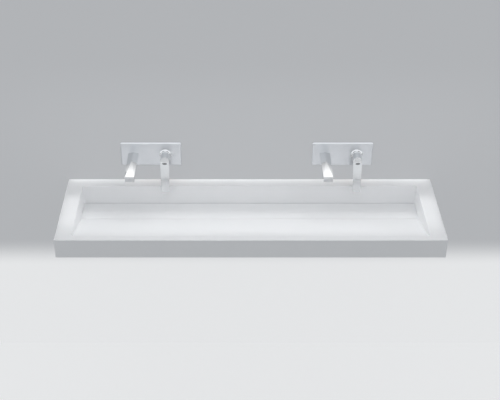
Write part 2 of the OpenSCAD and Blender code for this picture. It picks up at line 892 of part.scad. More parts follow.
// Threaded tails that the building's hot and cold pipes screw on to
module supply_tails() {
    color("goldenrod") for (tap_x = [left_tap_x, right_tap_x]) at_inlets(tap_x)
        translate([0, 0, socket_depth - supply_l - tail_thread_l]) difference() {
            union() {
                cylinder(r = tail_thread_r, h = tail_thread_l + cut);
                translate([0, 0, tail_thread_l])
                    cylinder(r = inlet_nut_r, h = inlet_nut_h, $fn = 6);
            }
            translate([0, 0, -cut])
                cylinder(r = supply_r - supply_t, h = tail_thread_l + 2 * cut);
            translate([0, 0, tail_thread_l])
                cylinder(r = supply_r + running_fit, h = inlet_nut_h + cut);
        }
}

module pipe_clips() {
    front_y = pipe_y - supply_r - clip_t;
    color("dimgray") for (tap_x = [left_tap_x, right_tap_x], x = [-1, 1] * inlet_side)
        translate([tap_x + lever_side + x, 0, pipe_rail_z]) difference() {
            translate([-clip_w / 2, front_y, -clip_h / 2]) cube([clip_w, rail_y - front_y, clip_h]);
            translate([0, pipe_y, -clip_h / 2 - cut])
                cylinder(r = supply_r + running_fit, h = clip_h + 2 * cut);
        }
}

// ---- Taps: pieces that turn with the lever ----

module at_pivot(tap_x) { at_lever(tap_x) translate([0, -pivot_out, 0]) children(); }

module stem_slot(low, high) {
    translate([-stem_w / 2 - stem_fit, -dome_r - cut, low])
        cube([stem_w + 2 * stem_fit, 2 * dome_r, high - low]);
}

module turn_dome(tap_x) {
    half = stem_w / 2;
    top = (dome_r + cut) * sin(lever_travel + asin(half / dome_r)) + moving_gap;
    color("silver") at_pivot(tap_x) difference() {
        sphere(r = dome_r);
        translate([-dome_r - cut, dome_back_y + pivot_out, -dome_r - cut])
            cube(2 * (dome_r + cut));
        stem_slot(-half - moving_gap, top);
    }
}

module turn_carrier(tap_x) {
    half = stem_w / 2;
    rear = (stem_end_y + pivot_out) * sin(lever_travel) + half + moving_gap;
    front = (-dome_back_y - pivot_out) * tan(lever_travel) + half / cos(lever_travel) + moving_gap;
    color("lightgray") difference() {
        at_lever(tap_x) rod_y(carrier_r, dome_back_y, carrier_end_y);
        at_pivot(tap_x) {
            translate([-half - stem_fit, dome_back_y + pivot_out - cut, -rear])
                cube([stem_w + 2 * stem_fit, stem_end_y - dome_back_y + 2 * cut, rear + front]);
            rod_x(pin_r, -carrier_r - cut, carrier_r + cut);
        }
    }
}

module pivot_pin(tap_x) {
    color("silver") at_pivot(tap_x) rod_x(pin_r, pin_recess - carrier_r, carrier_r - pin_recess);
}

// ---- Taps: pieces that tilt with the lever ----

module lever_stem(tap_x) {
    half = stem_w / 2;
    color("lightgray") difference() {
        at_lever(tap_x) translate([-half, -stem_in_hub, -half])
            cube([stem_w, stem_in_hub + stem_end_y, stem_w]);
        at_pivot(tap_x) rod_x(pin_r + running_fit, -stem_w, stem_w);
    }
}

// Blade that hangs from the hub's front end, seen from the front, in the slanted plane
module blade_2d() {
    polygon([
        [-blade_top_w / 2, -hub_r / 2],
        [blade_top_w / 2, -hub_r / 2],
        [blade_end_w / 2, -blade_l],
        [-blade_end_w / 2, -blade_l],
    ]);
}

module lever_handle(tap_x) {
    half = stem_w / 2;
    color("silver") at_lever(tap_x) difference() {
        union() {
            difference() {
                rotate([90, 0, 0]) rotate_extrude() polygon([
                    [0, pivot_out],
                    [hub_r, pivot_out],
                    [hub_r, hub_l - hub_bevel],
                    [hub_r - hub_bevel, hub_l],
                    [0, hub_l],
                ]);
                translate([0, -pivot_out, 0]) sphere(r = hub_sphere_r);
            }
            translate([0, -hub_l + blade_t + hub_bevel, 0]) rotate([-blade_slant, 0, 0])
                along_y(-blade_t, 0) blade_2d();
        }
        translate([-half, -stem_in_hub, -half]) cube([stem_w, stem_in_hub, stem_w]);
        translate([0, -stem_in_hub + 2 * grub_r, -hub_r - blade_t])
            cylinder(r = grub_r, h = hub_r + blade_t);
    }
}

module grub_screw(tap_x) {
    color("dimgray") at_lever(tap_x)
        translate([0, -stem_in_hub + 2 * grub_r, -stem_w / 2 - grub_l])
            cylinder(r = grub_r, h = grub_l);
}

TROUGH_NODES = [
    "trough", "drain_cover", "left_bracket", "right_bracket", "bracket_pads", "trough_bolts",
    "spacer_sleeves", "left_upright", "right_upright", "mixer_rail", "pipe_rail", "rail_bolts",
];
WASTE_NODES = [
    "waste_fitting", "waste_top_seal", "waste_back_seal", "waste_nut", "trap_inlet_nut",
    "trap_inlet_pipe", "trap_bottle", "trap_cup", "trap_seals", "trap_outlet_nut",
    "trap_outlet_pipe", "wall_rosette",
];
SHARED_TAP_NODES = ["body_screws", "inlet_nuts", "pipe_clips", "supply_tails"];
LEFT_TAP_NODES = [
    "left_tap_plate", "left_plate_seal", "left_spout", "left_spout_nipple", "left_aerator",
    "left_lever_ring", "left_cartridge", "left_valve_body", "left_supply_pipes",
    "left_turn_dome", "left_turn_carrier", "left_pivot_pin", "left_lever_stem",
    "left_lever_handle", "left_grub_screw",
];
RIGHT_TAP_NODES = [
    "right_tap_plate", "right_plate_seal", "right_spout", "right_spout_nipple", "right_aerator",
    "right_lever_ring", "right_cartridge", "right_valve_body", "right_supply_pipes",
    "right_turn_dome", "right_turn_carrier", "right_pivot_pin", "right_lever_stem",
    "right_lever_handle", "right_grub_screw",
];

trough();
drain_cover();
left_bracket();
right_bracket();
bracket_pads();
trough_bolts();
spacer_sleeves();
left_upright();
right_upright();
mixer_rail();
pipe_rail();
rail_bolts();
waste_fitting();
waste_top_seal();
waste_back_seal();
waste_nut();
trap_inlet_nut();
trap_inlet_pipe();
trap_bottle();
trap_cup();
trap_seals();
trap_outlet_nut();
trap_outlet_pipe();
wall_rosette();
body_screws();
inlet_nuts();
pipe_clips();
supply_tails();
tap_plate(left_tap_x);  // left_tap_plate
plate_seal(left_tap_x);  // left_plate_seal
spout(left_tap_x);  // left_spout
spout_nipple(left_tap_x);  // left_spout_nipple
aerator(left_tap_x);  // left_aerator
lever_ring(left_tap_x);  // left_lever_ring
cartridge(left_tap_x);  // left_cartridge
valve_body(left_tap_x);  // left_valve_body
supply_pipes(left_tap_x);  // left_supply_pipes
turn_dome(left_tap_x);  // left_turn_dome
turn_carrier(left_tap_x);  // left_turn_carrier
pivot_pin(left_tap_x);  // left_pivot_pin
lever_stem(left_tap_x);  // left_lever_stem
lever_handle(left_tap_x);  // left_lever_handle
grub_screw(left_tap_x);  // left_grub_screw
tap_plate(right_tap_x);  // right_tap_plate
plate_seal(right_tap_x);  // right_plate_seal
spout(right_tap_x);  // right_spout
spout_nipple(right_tap_x);  // right_spout_nipple
aerator(right_tap_x);  // right_aerator
lever_ring(right_tap_x);  // right_lever_ring
cartridge(right_tap_x);  // right_cartridge
valve_body(right_tap_x);  // right_valve_body
supply_pipes(right_tap_x);  // right_supply_pipes
turn_dome(right_tap_x);  // right_turn_dome
turn_carrier(right_tap_x);  // right_turn_carrier
pivot_pin(right_tap_x);  // right_pivot_pin
lever_stem(right_tap_x);  // right_lever_stem
lever_handle(right_tap_x);  // right_lever_handle
grub_screw(right_tap_x);  // right_grub_screw
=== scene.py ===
"""Looks of a wall-hung trough sink with two wall-mounted lever taps.

Metres: +X along the wall to the user's right, +Y into the wall, +Z up. The finished wall is at
y = 0, and the origin is the middle of the four wall bolts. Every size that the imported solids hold
is read from them, so each new piece sits where its solid is.
"""

import logging
import math
from dataclasses import dataclass
from enum import Enum
from typing import Any, Callable, Sequence

import bpy
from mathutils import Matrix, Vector


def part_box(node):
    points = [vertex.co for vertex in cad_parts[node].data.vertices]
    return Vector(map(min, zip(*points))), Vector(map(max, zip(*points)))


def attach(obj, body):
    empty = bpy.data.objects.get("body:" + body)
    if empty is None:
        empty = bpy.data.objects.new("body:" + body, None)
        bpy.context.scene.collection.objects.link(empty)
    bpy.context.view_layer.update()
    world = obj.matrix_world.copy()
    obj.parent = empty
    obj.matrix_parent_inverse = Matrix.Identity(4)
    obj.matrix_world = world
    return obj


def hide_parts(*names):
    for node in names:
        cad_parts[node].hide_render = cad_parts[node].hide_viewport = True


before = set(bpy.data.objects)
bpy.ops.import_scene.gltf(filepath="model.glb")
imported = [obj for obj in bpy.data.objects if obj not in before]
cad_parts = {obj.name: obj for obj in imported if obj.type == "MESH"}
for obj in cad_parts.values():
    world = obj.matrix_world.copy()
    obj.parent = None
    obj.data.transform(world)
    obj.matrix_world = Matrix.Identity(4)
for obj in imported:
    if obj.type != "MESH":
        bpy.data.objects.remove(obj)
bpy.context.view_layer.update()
log = logging.getLogger("trough_sink")

MM = 0.001
# Two places closer than this are the same
NEAR = 0.1 * MM
# Corners closer than this are joined
WELD = 0.01 * MM
# Faces that meet at less than this angle are joined
FLAT = math.radians(0.5)
# Radius at which a turned solid's end closes to a point
PINCH = 0.02 * MM
# A direction with this much of it along an axis points that way
ALONG = 0.9
# Length of a rod that cuts right through a plate or a floor
THROUGH = 0.03
# Sides of the round pieces whose outline shows
FINE = 96
Piece = bpy.types.Object
Tree = bpy.types.NodeTree
Socket = bpy.types.NodeSocket
Point = tuple[float, float, float]
Span = tuple[float, float]
Test = Callable[[Vector, Vector], bool]


class Part(Enum):
    """What is selected in edit mode."""

    CORNER = "VERT"
    EDGE = "EDGE"
    FACE = "FACE"


class Axis(Enum):
    """The way a turned piece's own axis points, as a rotation that brings +Z there."""

    UP = (0.0, 0.0, 0.0)
    OUT_OF_WALL = (math.pi / 2, 0.0, 0.0)


class Side(Enum):
    """Which of the two taps, as the user sees them."""

    LEFT = "left"
    RIGHT = "right"


# ---- Shader helpers ----


def linear(code: str) -> tuple[float, float, float, float]:
    """Turns an sRGB hex colour to linear light.

    Args:
        code: the colour, such as "#e8eaec".

    Returns:
        Red, green, blue and an alpha of 1.
    """
    shares = [int(code[i:i + 2], 16) / 255 for i in (1, 3, 5)]
    red, green, blue = (
        s / 12.92 if s <= 0.04045 else ((s + 0.055) / 1.055) ** 2.4 for s in shares)
    return red, green, blue, 1.0


def add_node(tree: Tree, kind: str, inputs: dict[Any, Any] | None = None,
             **settings: Any) -> bpy.types.Node:
    """Adds one shader node with its settings and links.

    Args:
        tree: the node tree that the node joins.
        kind: the node's type, such as "ShaderNodeTexNoise".
        inputs: socket name or number to the value that it holds or the output that feeds it.
        settings: the node's own attributes.

    Returns:
        The node.
    """
    node = tree.nodes.new(kind)
    for name, value in settings.items():
        setattr(node, name, value)
    for name, value in (inputs or {}).items():
        if isinstance(value, Socket):
            tree.links.new(value, node.inputs[name])
        else:
            node.inputs[name].default_value = value
    return node


def fresh_tree(owner: Any) -> Tree:
    """Gives a material, a lamp or the world an empty node tree.

    Args:
        owner: the material, the lamp or the world.

    Returns:
        Its node tree.
    """
    owner.use_nodes = True
    owner.node_tree.nodes.clear()
    return owner.node_tree


def ramp(tree: Tree, value: Socket, start: float = 0.0,
         end: float = 1.0, low: Any = 0.0, high: Any = 1.0,
         **settings: Any) -> Socket:
    """Maps a value to a level that stays the same beyond both ends.

    Args:
        tree: the node tree.
        value: the value's output.
        start: the value at which the level is the low one.
        end: the value at which it is the high one.
        low: the low level, or the output that gives it.
        high: the high level, or the output that gives it.
        settings: the node's own attributes.

    Returns:
        The level's output.
    """
    return add_node(tree, "ShaderNodeMapRange", {
        "Value": value, "From Min": start, "From Max": end, "To Min": low, "To Max": high,
    }, **settings).outputs["Result"]


def combine(tree: Tree, operation: str, *values: Socket) -> Socket:
    """Works several values out to one.

    Args:
        tree: the node tree.
        operation: the math node's operation.
        values: the outputs that it takes, in order.

    Returns:
        The result's output.
    """
    total = values[0]
    for value in values[1:]:
        total = add_node(tree, "ShaderNodeMath", {0: total, 1: value},
                         operation=operation).outputs[0]
    return total


# ---- Finishes ----


@dataclass(frozen=True)
class Finish:
    """A surface: what it is made of, and how it was worked.

    Attributes:
        name: the material's name.
        color: its main colour, as sRGB hex.
        shade: a second colour that patches or grains take.
        roughness: the shader's roughness where the surface is cleanest.
        rough_more: how much rougher it gets in patches.
        patch_mm: the size of its patches.
        grain_mm: the size of its finest relief.
        relief_mm: the height of that relief.
        metallic: 1 on bare metal.
        stretch: how the grain is drawn out along X, Y and Z.
    """

    name: str
    color: str
    shade: str
    roughness: float = 0.4
    rough_more: float = 0.1
    patch_mm: float = 60.0
    grain_mm: float = 1.0
    relief_mm: float = 0.01
    metallic: float = 0.0
    stretch: Point = (1.0, 1.0, 1.0)

    def material(self) -> bpy.types.Material:
        """Finds this finish's material, and makes it on first use.

        Returns:
            The material.
        """
        made = bpy.data.materials.get(self.name)
        if made is None:
            made = bpy.data.materials.new(self.name)
            made.diffuse_color = linear(self.color)
            self.fill(fresh_tree(made))
        return made

    def patches(self, tree: Tree, place: Socket) -> Socket:
        """Makes the slow change over the surface.

        Args:
            tree: the material's node tree.
            place: object coordinates, in metres.

        Returns:
            A share from 0 to 1.
        """
        return add_node(tree, "ShaderNodeTexNoise", {
            "Vector": place, "Scale": 1 / (self.patch_mm * MM), "Detail": 4.0,
        }).outputs["Fac"]

    def fill(self, tree: Tree) -> None:
        """Fills a node tree with this finish.

        Args:
            tree: an empty node tree.
        """
        place = add_node(tree, "ShaderNodeTexCoord").outputs["Object"]
        patches = self.patches(tree, place)
        color = add_node(tree, "ShaderNodeMix", {
            0: patches, 6: linear(self.color), 7: linear(self.shade)}, data_type="RGBA")
        rough = ramp(tree, patches, low=self.roughness, high=self.roughness + self.rough_more)
        drawn = add_node(tree, "ShaderNodeMapping", {"Vector": place, "Scale": self.stretch})
        grain = add_node(tree, "ShaderNodeTexNoise", {
            "Vector": drawn.outputs[0], "Scale": 1 / (self.grain_mm * MM), "Detail": 3.0})
        bump = add_node(tree, "ShaderNodeBump", {
            "Height": grain.outputs["Fac"], "Distance": self.relief_mm * MM, "Strength": 1.0})
        surface = add_node(tree, "ShaderNodeBsdfPrincipled", {
            "Base Color": color.outputs[2], "Roughness": rough,
            "Normal": bump.outputs[0], "Metallic": self.metallic})
        add_node(tree, "ShaderNodeOutputMaterial", {"Surface": surface.outputs[0]})


@dataclass(frozen=True)
class Spangled(Finish):
    """Hot-dip zinc, whose crystals show as flat patches a few millimetres wide."""

    def patches(self, tree: Tree, place: Socket) -> Socket:
        """Makes the crystals.

        Args:
            tree: the material's node tree.
            place: object coordinates, in metres.

        Returns:
            A share from 0 to 1, the same all over each crystal.
        """
        cells = add_node(tree, "ShaderNodeTexVoronoi", {
            "Vector": place, "Scale": 1 / (self.patch_mm * MM)})
        return add_node(tree, "ShaderNodeSeparateColor", {0: cells.outputs["Color"]}).outputs[0]


# Cast mineral composite, sanded: a soft sheen, hardly any mottling, a fine even tooth
SOLID_SURFACE = Finish("sanded_mineral_composite", "#f4f4f5", "#f0f1f2", 0.6, 0.06,
                       90.0, 0.9, 0.004)
# Decorative chrome on polished brass: a mirror with faint wiping marks
CHROME = Finish("polished_chrome_plate", "#e2e3e4", "#dadbdc", 0.05, 0.05,
                25.0, 8.0, 0.0015, 1.0)
# Chrome over brushed brass: fine lines along the plate blur what it mirrors
SATIN_CHROME = Finish("satin_chrome_plate", "#e0e2e5", "#d8dadd", 0.27, 0.05,
                      30.0, 0.35, 0.004, 1.0, (0.03, 1.0, 1.0))
# Powder coat on mild steel: a light orange peel
POWDER_COAT = Finish("powder_coated_steel", "#c9cccf", "#bfc2c6", 0.38, 0.1, 50.0, 1.6, 0.03)
# Hot-dip galvanised steel: dull crystals, no two alike
GALVANISED = Spangled("hot_dip_galvanised_steel", "#b4b9bd", "#90969b", 0.35, 0.18,
                      9.0, 2.5, 0.02, 1.0)
# Bright zinc on steel screws and bolts
ZINC = Finish("bright_zinc_plate", "#c6c9c9", "#aeb0ac", 0.24, 0.14, 6.0, 0.5, 0.006, 1.0)
# Turned stainless steel
STAINLESS = Finish("turned_stainless_steel", "#bfc0bf", "#a9aaa9", 0.22, 0.1,
                   8.0, 0.3, 0.004, 1.0, (1.0, 0.1, 1.0))
# Forged brass, shot-blasted: a dull grain and brown stains
BRASS = Finish("forged_brass", "#c7a35c", "#9c7a3e", 0.34, 0.2, 18.0, 0.8, 0.03, 1.0)
# Drawn copper tube: lengthwise draw marks and patches of brown oxide
COPPER = Finish("drawn_copper_tube", "#c98c68", "#94583c", 0.26, 0.2,
                30.0, 0.5, 0.008, 1.0, (1.0, 1.0, 0.04))
# EPDM rubber, moulded, with a dusty bloom
RUBBER = Finish("moulded_rubber", "#1d1e20", "#303235", 0.62, 0.18, 12.0, 0.6, 0.02)
# White acetal, moulded
ACETAL = Finish("moulded_white_acetal", "#dcdcd7", "#d3d3cd", 0.34, 0.08, 20.0, 1.0, 0.008)
# Black glass-filled polyamide, moulded
POLYAMIDE = Finish("moulded_black_polyamide", "#202123", "#2b2c2f", 0.46, 0.12, 10.0, 0.5, 0.02)


# ---- Modelling helpers ----


def only(piece: Piece) -> None:
    """Makes a piece the active object and the only selected one.

    Args:
        piece: the object to work on.
    """
    if bpy.context.mode != "OBJECT":
        bpy.ops.object.mode_set(mode="OBJECT")
    bpy.ops.object.select_all(action="DESELECT")
    bpy.context.view_layer.objects.active = piece
    piece.select_set(True)


def place_new(name: str) -> Piece:
    """Names the primitive that was just added, and moves its place into its mesh.

    Args:
        name: the piece's name.

    Returns:
        The new object, at the origin.
    """
    piece = bpy.context.active_object
    piece.name = name
    piece.data.name = name
    only(piece)
    bpy.ops.object.transform_apply(location=True, rotation=True, scale=True)
    return piece


def add_block(name: str, low: Sequence[float], high: Sequence[float]) -> Piece:
    """Adds a block between two corners.

    Args:
        name: the piece's name.
        low: its lowest corner.
        high: its highest corner.

    Returns:
        The block.
    """
    a, b = Vector(low), Vector(high)
    bpy.ops.mesh.primitive_cube_add(size=1, location=(a + b) / 2, scale=b - a)
    return place_new(name)


def add_rod(name: str, radius: float, start: Sequence[float], length: float, axis: Axis,
            sides: int = 64) -> Piece:
    """Adds a rod that starts at a point and runs along an axis.

    Args:
        name: the piece's name.
        radius: its radius.
        start: the middle of its first end.
        length: its length.
        axis: the way it points.
        sides: how many sides it has.

    Returns:
        The rod.
    """
    bpy.ops.mesh.primitive_cylinder_add(vertices=sides, radius=radius, depth=length,
                                        location=(0, 0, length / 2))
    piece = place_new(name)
    piece.rotation_euler = axis.value
    piece.location = start
    return place_new(name)


def add_turned(name: str, profile: Sequence[Span], start: Sequence[float],
               axis: Axis, sides: int = 64) -> Piece:
    """Turns a profile round an axis, ring by ring.

    Args:
        name: the piece's name.
        profile: radius and distance along the axis of each ring. A tube's profile ends on its
            first ring, and a solid's ends have a radius close to 0.
        start: the point that distances count from.
        axis: the way the piece points.
        sides: how many sides it has.

    Returns:
        The turned piece.
    """
    (radius, height), *rest = profile
    bpy.ops.mesh.primitive_circle_add(vertices=sides, radius=radius, location=(0, 0, height))
    piece = place_new(name)
    bpy.ops.object.mode_set(mode="EDIT")
    bpy.ops.mesh.select_all(action="SELECT")
    for next_radius, next_height in rest:
        bpy.ops.mesh.extrude_region_move(
            TRANSFORM_OT_translate={"value": (0, 0, next_height - height)})
        grow = next_radius / radius
        bpy.ops.transform.resize(value=(grow, grow, 1), center_override=(0, 0, next_height))
        radius, height = next_radius, next_height
    bpy.ops.mesh.select_all(action="SELECT")
    bpy.ops.mesh.remove_doubles(threshold=PINCH)
    bpy.ops.mesh.normals_make_consistent(inside=False)
    bpy.ops.object.mode_set(mode="OBJECT")
    piece.rotation_euler = axis.value
    piece.location = start
    return place_new(name)


def arc(radius: float, center: Span, start: float, end: float, steps: int = 6) -> list[Span]:
    """Gives the points of an arc, for a turned piece's profile.

    Args:
        radius: the arc's radius.
        center: its centre, as distance from the axis and along it.
        start: the first point's angle in degrees, from the outward direction towards the end.
        end: the last point's angle.
        steps: how many stretches it has.

    Returns:
        The points, both ends included.
    """
    angles = [math.radians(start + (end - start) * i / steps) for i in range(steps + 1)]
    return [(center[0] + radius * math.cos(a), center[1] + radius * math.sin(a)) for a in angles]


def rework(piece: Piece, part: Part, test: Test, operator: Callable[..., Any],
           **options: Any) -> None:
    """Runs one edit-mode operator on some of a piece's corners, edges or faces.

    Args:
        piece: the piece.
        part: what to select.
        test: says yes to each by its middle and its normal, or by its direction for an edge.
        operator: the operator.
        options: what it is told.
    """
    only(piece)
    bpy.ops.object.mode_set(mode="EDIT")
    bpy.ops.mesh.select_mode(type=part.value)
    bpy.ops.mesh.select_all(action="DESELECT")
    bpy.ops.object.mode_set(mode="OBJECT")
    mesh = piece.data
    if part is Part.FACE:
        for face in mesh.polygons:
            face.select = test(face.center, face.normal)
    elif part is Part.CORNER:
        for corner in mesh.vertices:
            corner.select = test(corner.co, corner.normal)
    else:
        for edge in mesh.edges:
            a, b = (mesh.vertices[i].co for i in edge.vertices)
            edge.select = test((a + b) / 2, (b - a).normalized())
    bpy.ops.object.mode_set(mode="EDIT")
    operator(**options)
    bpy.ops.object.mode_set(mode="OBJECT")


def slice_faces(piece: Piece, test: Test, cuts: dict[str, Sequence[float]]) -> None:
    """Cuts some faces along planes square to the axes.

    Args:
        piece: the piece.
        test: says which faces are cut.
        cuts: axis name, "x", "y" or "z", to the places of its planes.
    """
    for name, places in cuts.items():
        axis = "xyz".index(name)
        for at in places:
            point, normal = Vector(), Vector()
            point[axis], normal[axis] = at, 1.0
            rework(piece, Part.FACE, test, bpy.ops.mesh.bisect, plane_co=point, plane_no=normal)


def push(piece: Piece, test: Test, move: Sequence[float]) -> None:
    """Extrudes the faces that a test picks, by a move."""
    rework(piece, Part.FACE, test, bpy.ops.mesh.extrude_region_move,
           TRANSFORM_OT_translate={"value": tuple(move)})


def shift(piece: Piece, test: Test, move: Sequence[float]) -> None:
    """Moves the corners that a test picks."""
    rework(piece, Part.CORNER, test, bpy.ops.transform.translate, value=tuple(move))


def tidy_faces(piece: Piece) -> None:
    """Joins the corners that share a place, and then the faces that lie in one plane."""
    rework(piece, Part.CORNER, anything, bpy.ops.mesh.remove_doubles, threshold=WELD)
    rework(piece, Part.CORNER, anything, bpy.ops.mesh.dissolve_limited, angle_limit=FLAT)


def apply_modifier(piece: Piece, kind: str, **settings: Any) -> None:
    """Adds a modifier and applies it.

    Args:
        piece: the piece.
        kind: the modifier's type.
        settings: its attributes.
    """
    only(piece)
    added = piece.modifiers.new(kind.lower(), kind)
    for name, value in settings.items():
        setattr(added, name, value)
    bpy.ops.object.modifier_apply(modifier=added.name)


def cut_with(piece: Piece, *tools: Piece) -> None:
    """Cuts tools' shapes out of a piece, and removes the tools.

    Args:
        piece: the piece.
        tools: the closed shapes to cut out.
    """
    for tool in tools:
        apply_modifier(piece, "BOOLEAN", object=tool, operation="DIFFERENCE", solver="EXACT")
        bpy.data.objects.remove(tool)


def weigh_edges(piece: Piece, weight: float, test: Test) -> None:
    """Gives the edges that a test picks their share, 0 to 1, of round_edges' width."""
    rework(piece, Part.EDGE, test, bpy.ops.transform.edge_bevelweight, value=weight)


def round_edges(piece: Piece, width: float, segments: int = 3,
                angle: float = 35.0, weighted: bool = False) -> None:
    """Rounds edges with a bevel.

    Args:
        piece: the piece.
        width: the rounding's width.
        segments: how many steps it has.
        angle: the least angle, in degrees, between two faces whose edge is rounded.
        weighted: whether each edge's own weight decides instead of the angle.
    """
    apply_modifier(piece, "BEVEL", width=width, segments=segments, miter_outer="MITER_ARC",
                   limit_method="WEIGHT" if weighted else "ANGLE",
                   angle_limit=math.radians(angle), use_clamp_overlap=True)


def hand_over(piece: Piece, finish: Finish, slot: str, body: str,
              *nodes: str, angle: float = 40.0) -> None:
    """Smooths and dresses a finished piece, and puts it on its body in place of its solids.

    Args:
        piece: the piece.
        finish: its finish.
        slot: the record's material slot; not used.
        body: the body that it rides on.
        nodes: the solids that it stands for.
        angle: the least angle, in degrees, that still shows as an edge.
    """
    only(piece)
    bpy.ops.object.shade_smooth_by_angle(angle=math.radians(angle), keep_sharp_edges=True)
    apply_modifier(piece, "WEIGHTED_NORMAL", keep_sharp=True, weight=100)
    piece.data.materials.clear()
    piece.data.materials.append(finish.material())
    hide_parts(*nodes)
    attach(piece, body)
    log.info("%s: %d faces in %s", piece.name, len(piece.data.polygons), finish.name)


def near(value: float, *targets: float) -> bool:
    """Says whether a place is within a tenth of a millimetre of one of some targets."""
    return any(abs(value - target) < NEAR for target in targets)


def anything(point: Vector, normal: Vector) -> bool:
    """Says yes to every corner, edge and face."""
    return True


def level(way: int, height: float) -> Test:
    """Returns a test for the level faces at a height that look up (1) or down (-1)."""
    return lambda point, normal: normal.z * way > ALONG and near(point.z, height)


# ---- The trough ----


@dataclass
class Trough:
    """The casting, with its ramp and gutter, and the cover that lies in it.

    Attributes:
        front_rim: width of the front rim.
        side_rim: width of each side rim.
        back_rim: width of the back rim.
        lip: depth of the bowl just behind the front rim.
        bowl: depth of the bowl at the cover.
        foot: distance from the wall to the foot of the ramp.
        apron: thickness of the apron and the rim.
        shell: thickness of the bowl's walls and floor.
        ledge: width of the ledge that carries the cover.
        gutter_end: depth of the gutter at its ends.
        gutter_fall: how much deeper it is at the waste.
        waste_land: half the length of its level floor there.
        waste_hole: radius of the waste's hole, as a share of its nut's radius.
        waste_deep: length of the rod that cuts it.
        nose: how far the cover's upper rear edge hangs over the slot.
        nose_high: the height of that edge.
        soft: radius of the edges that no other radius names.
        edge: radius of the outer edges.
        mouth: radius of the edge between rim and bowl.
        foot_round: radius between the bowl's walls and its ramp.
        fillet: radius of the bowl's and the cover's upright corners.
        cover_edge: radius of the cover's other edges.
    """

    front_rim: float = 0.030
    side_rim: float = 0.060
    back_rim: float = 0.050
    lip: float = 0.012
    bowl: float = 0.080
    foot: float = 0.150
    apron: float = 0.015
    shell: float = 0.012
    ledge: float = 0.010
    gutter_end: float = 0.026
    gutter_fall: float = 0.006
    waste_land: float = 0.040
    waste_hole: float = 0.65
    waste_deep: float = 0.05
    nose: float = 0.0015
    nose_high: float = 0.003
    soft: float = 0.0009
    edge: float = 0.002
    mouth: float = 0.0024
    foot_round: float = 0.0042
    fillet: float = 0.006
    cover_edge: float = 0.0006

    def __post_init__(self) -> None:
        """Reads the casting's outside from its solid."""
        self.low, self.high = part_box("trough")
        self.end_x = self.high.x - self.side_rim
        self.front_y = self.low.y + self.front_rim
        self.rim_z = self.high.z
        self.cover_z = self.rim_z - self.bowl
        self.ledge_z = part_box("drain_cover")[0].z
        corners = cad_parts["trough"].data.vertices
        self.apron_z = min(corner.co.z for corner in corners if (
            near(corner.co.y, self.low.y) or near(corner.co.x, self.high.x)))
        self.slope = (self.bowl - self.lip) / (-self.foot - self.front_y)

    def under_ramp(self, y: float) -> float:
        """Returns the height of the ramp's underside at a distance from the wall."""
        drop = self.shell * math.hypot(1, self.slope)
        return self.rim_z - self.lip - (y - self.front_y) * self.slope - drop

    def inside(self, point: Vector) -> bool:
        """Says whether a point is over or under the bowl's opening."""
        return abs(point.x) < self.end_x and self.front_y < point.y < -self.back_rim

    def hollow_bowl(self, piece: Piece) -> None:
        """Sinks the bowl, the cover's pocket and the gutter into the top of a block.

        Args:
            piece: the block.
        """
        top, pocket = level(1, self.rim_z), level(1, self.ledge_z)
        slice_faces(piece, top, {"x": (-self.end_x, self.end_x),
                                 "y": (self.front_y, -self.foot, -self.back_rim)})
        push(piece, lambda p, n: top(p, n) and self.inside(p), (0, 0, -self.lip))
        shift(piece, lambda p, n: near(p.z, self.rim_z - self.lip) and p.y > -self.foot - MM,
              (0, 0, self.lip - self.bowl))
        push(piece, level(1, self.cover_z), (0, 0, self.ledge_z - self.cover_z))
        gutter_x, gutter_y = self.end_x - self.ledge, -self.foot + self.ledge
        slice_faces(piece, pocket, {
            "x": (-gutter_x, -self.waste_land, self.waste_land, gutter_x), "y": (gutter_y,)})
        push(piece, lambda p, n: pocket(p, n) and abs(p.x) < gutter_x and p.y > gutter_y,
             (0, 0, -self.gutter_end))
        shift(piece, lambda p, n: near(p.z, self.ledge_z - self.gutter_end)
              and abs(p.x) < self.waste_land + MM, (0, 0, -self.gutter_fall))

    def hollow_underside(self, piece: Piece) -> None:
        """Sinks the space under the rim into a block, and lets the bowl's shell down in it.

        Args:
            piece: the block.
        """
        bottom, ceiling = level(-1, self.apron_z), level(-1, self.rim_z - self.apron)
        in_x, in_front, in_back = self.high.x - self.apron, self.low.y + self.apron, -self.apron
        slice_faces(piece, bottom, {"x": (-in_x, in_x), "y": (in_front, in_back)})
        push(piece, lambda p, n: bottom(p, n) and abs(p.x) < in_x and in_front < p.y < in_back,
             (0, 0, self.rim_z - self.apron - self.apron_z))
        out_x = self.end_x + self.shell
        out_front, out_back = self.front_y - self.shell, -self.back_rim + self.shell
        step_y = -self.foot + self.ledge - self.shell
        slice_faces(piece, ceiling, {"x": (-out_x, out_x), "y": (out_front, step_y, out_back)})
        front_z = self.under_ramp(out_front)
        push(piece, lambda p, n: ceiling(p, n) and abs(p.x) < out_x and out_front < p.y < out_back,
             (0, 0, front_z - self.rim_z + self.apron))
        shift(piece, lambda p, n: near(p.z, front_z) and p.y > step_y - MM,
              (0, 0, self.under_ramp(step_y) - front_z))
        push(piece, level(-1, self.under_ramp(step_y)),
             (0, 0, self.low.z - self.under_ramp(step_y)))

    def round_off(self, piece: Piece) -> None:
        """Rounds the casting's edges, each to its own radius.

        Args:
            piece: the casting.
        """
        tidy_faces(piece)
        bowl_ends = (-self.end_x, self.end_x)

        def widen(radius: float, test: Test) -> None:
            """Rounds some edges to a radius of their own instead of the soft one."""
            weigh_edges(piece, (radius - self.soft) / self.fillet, test)

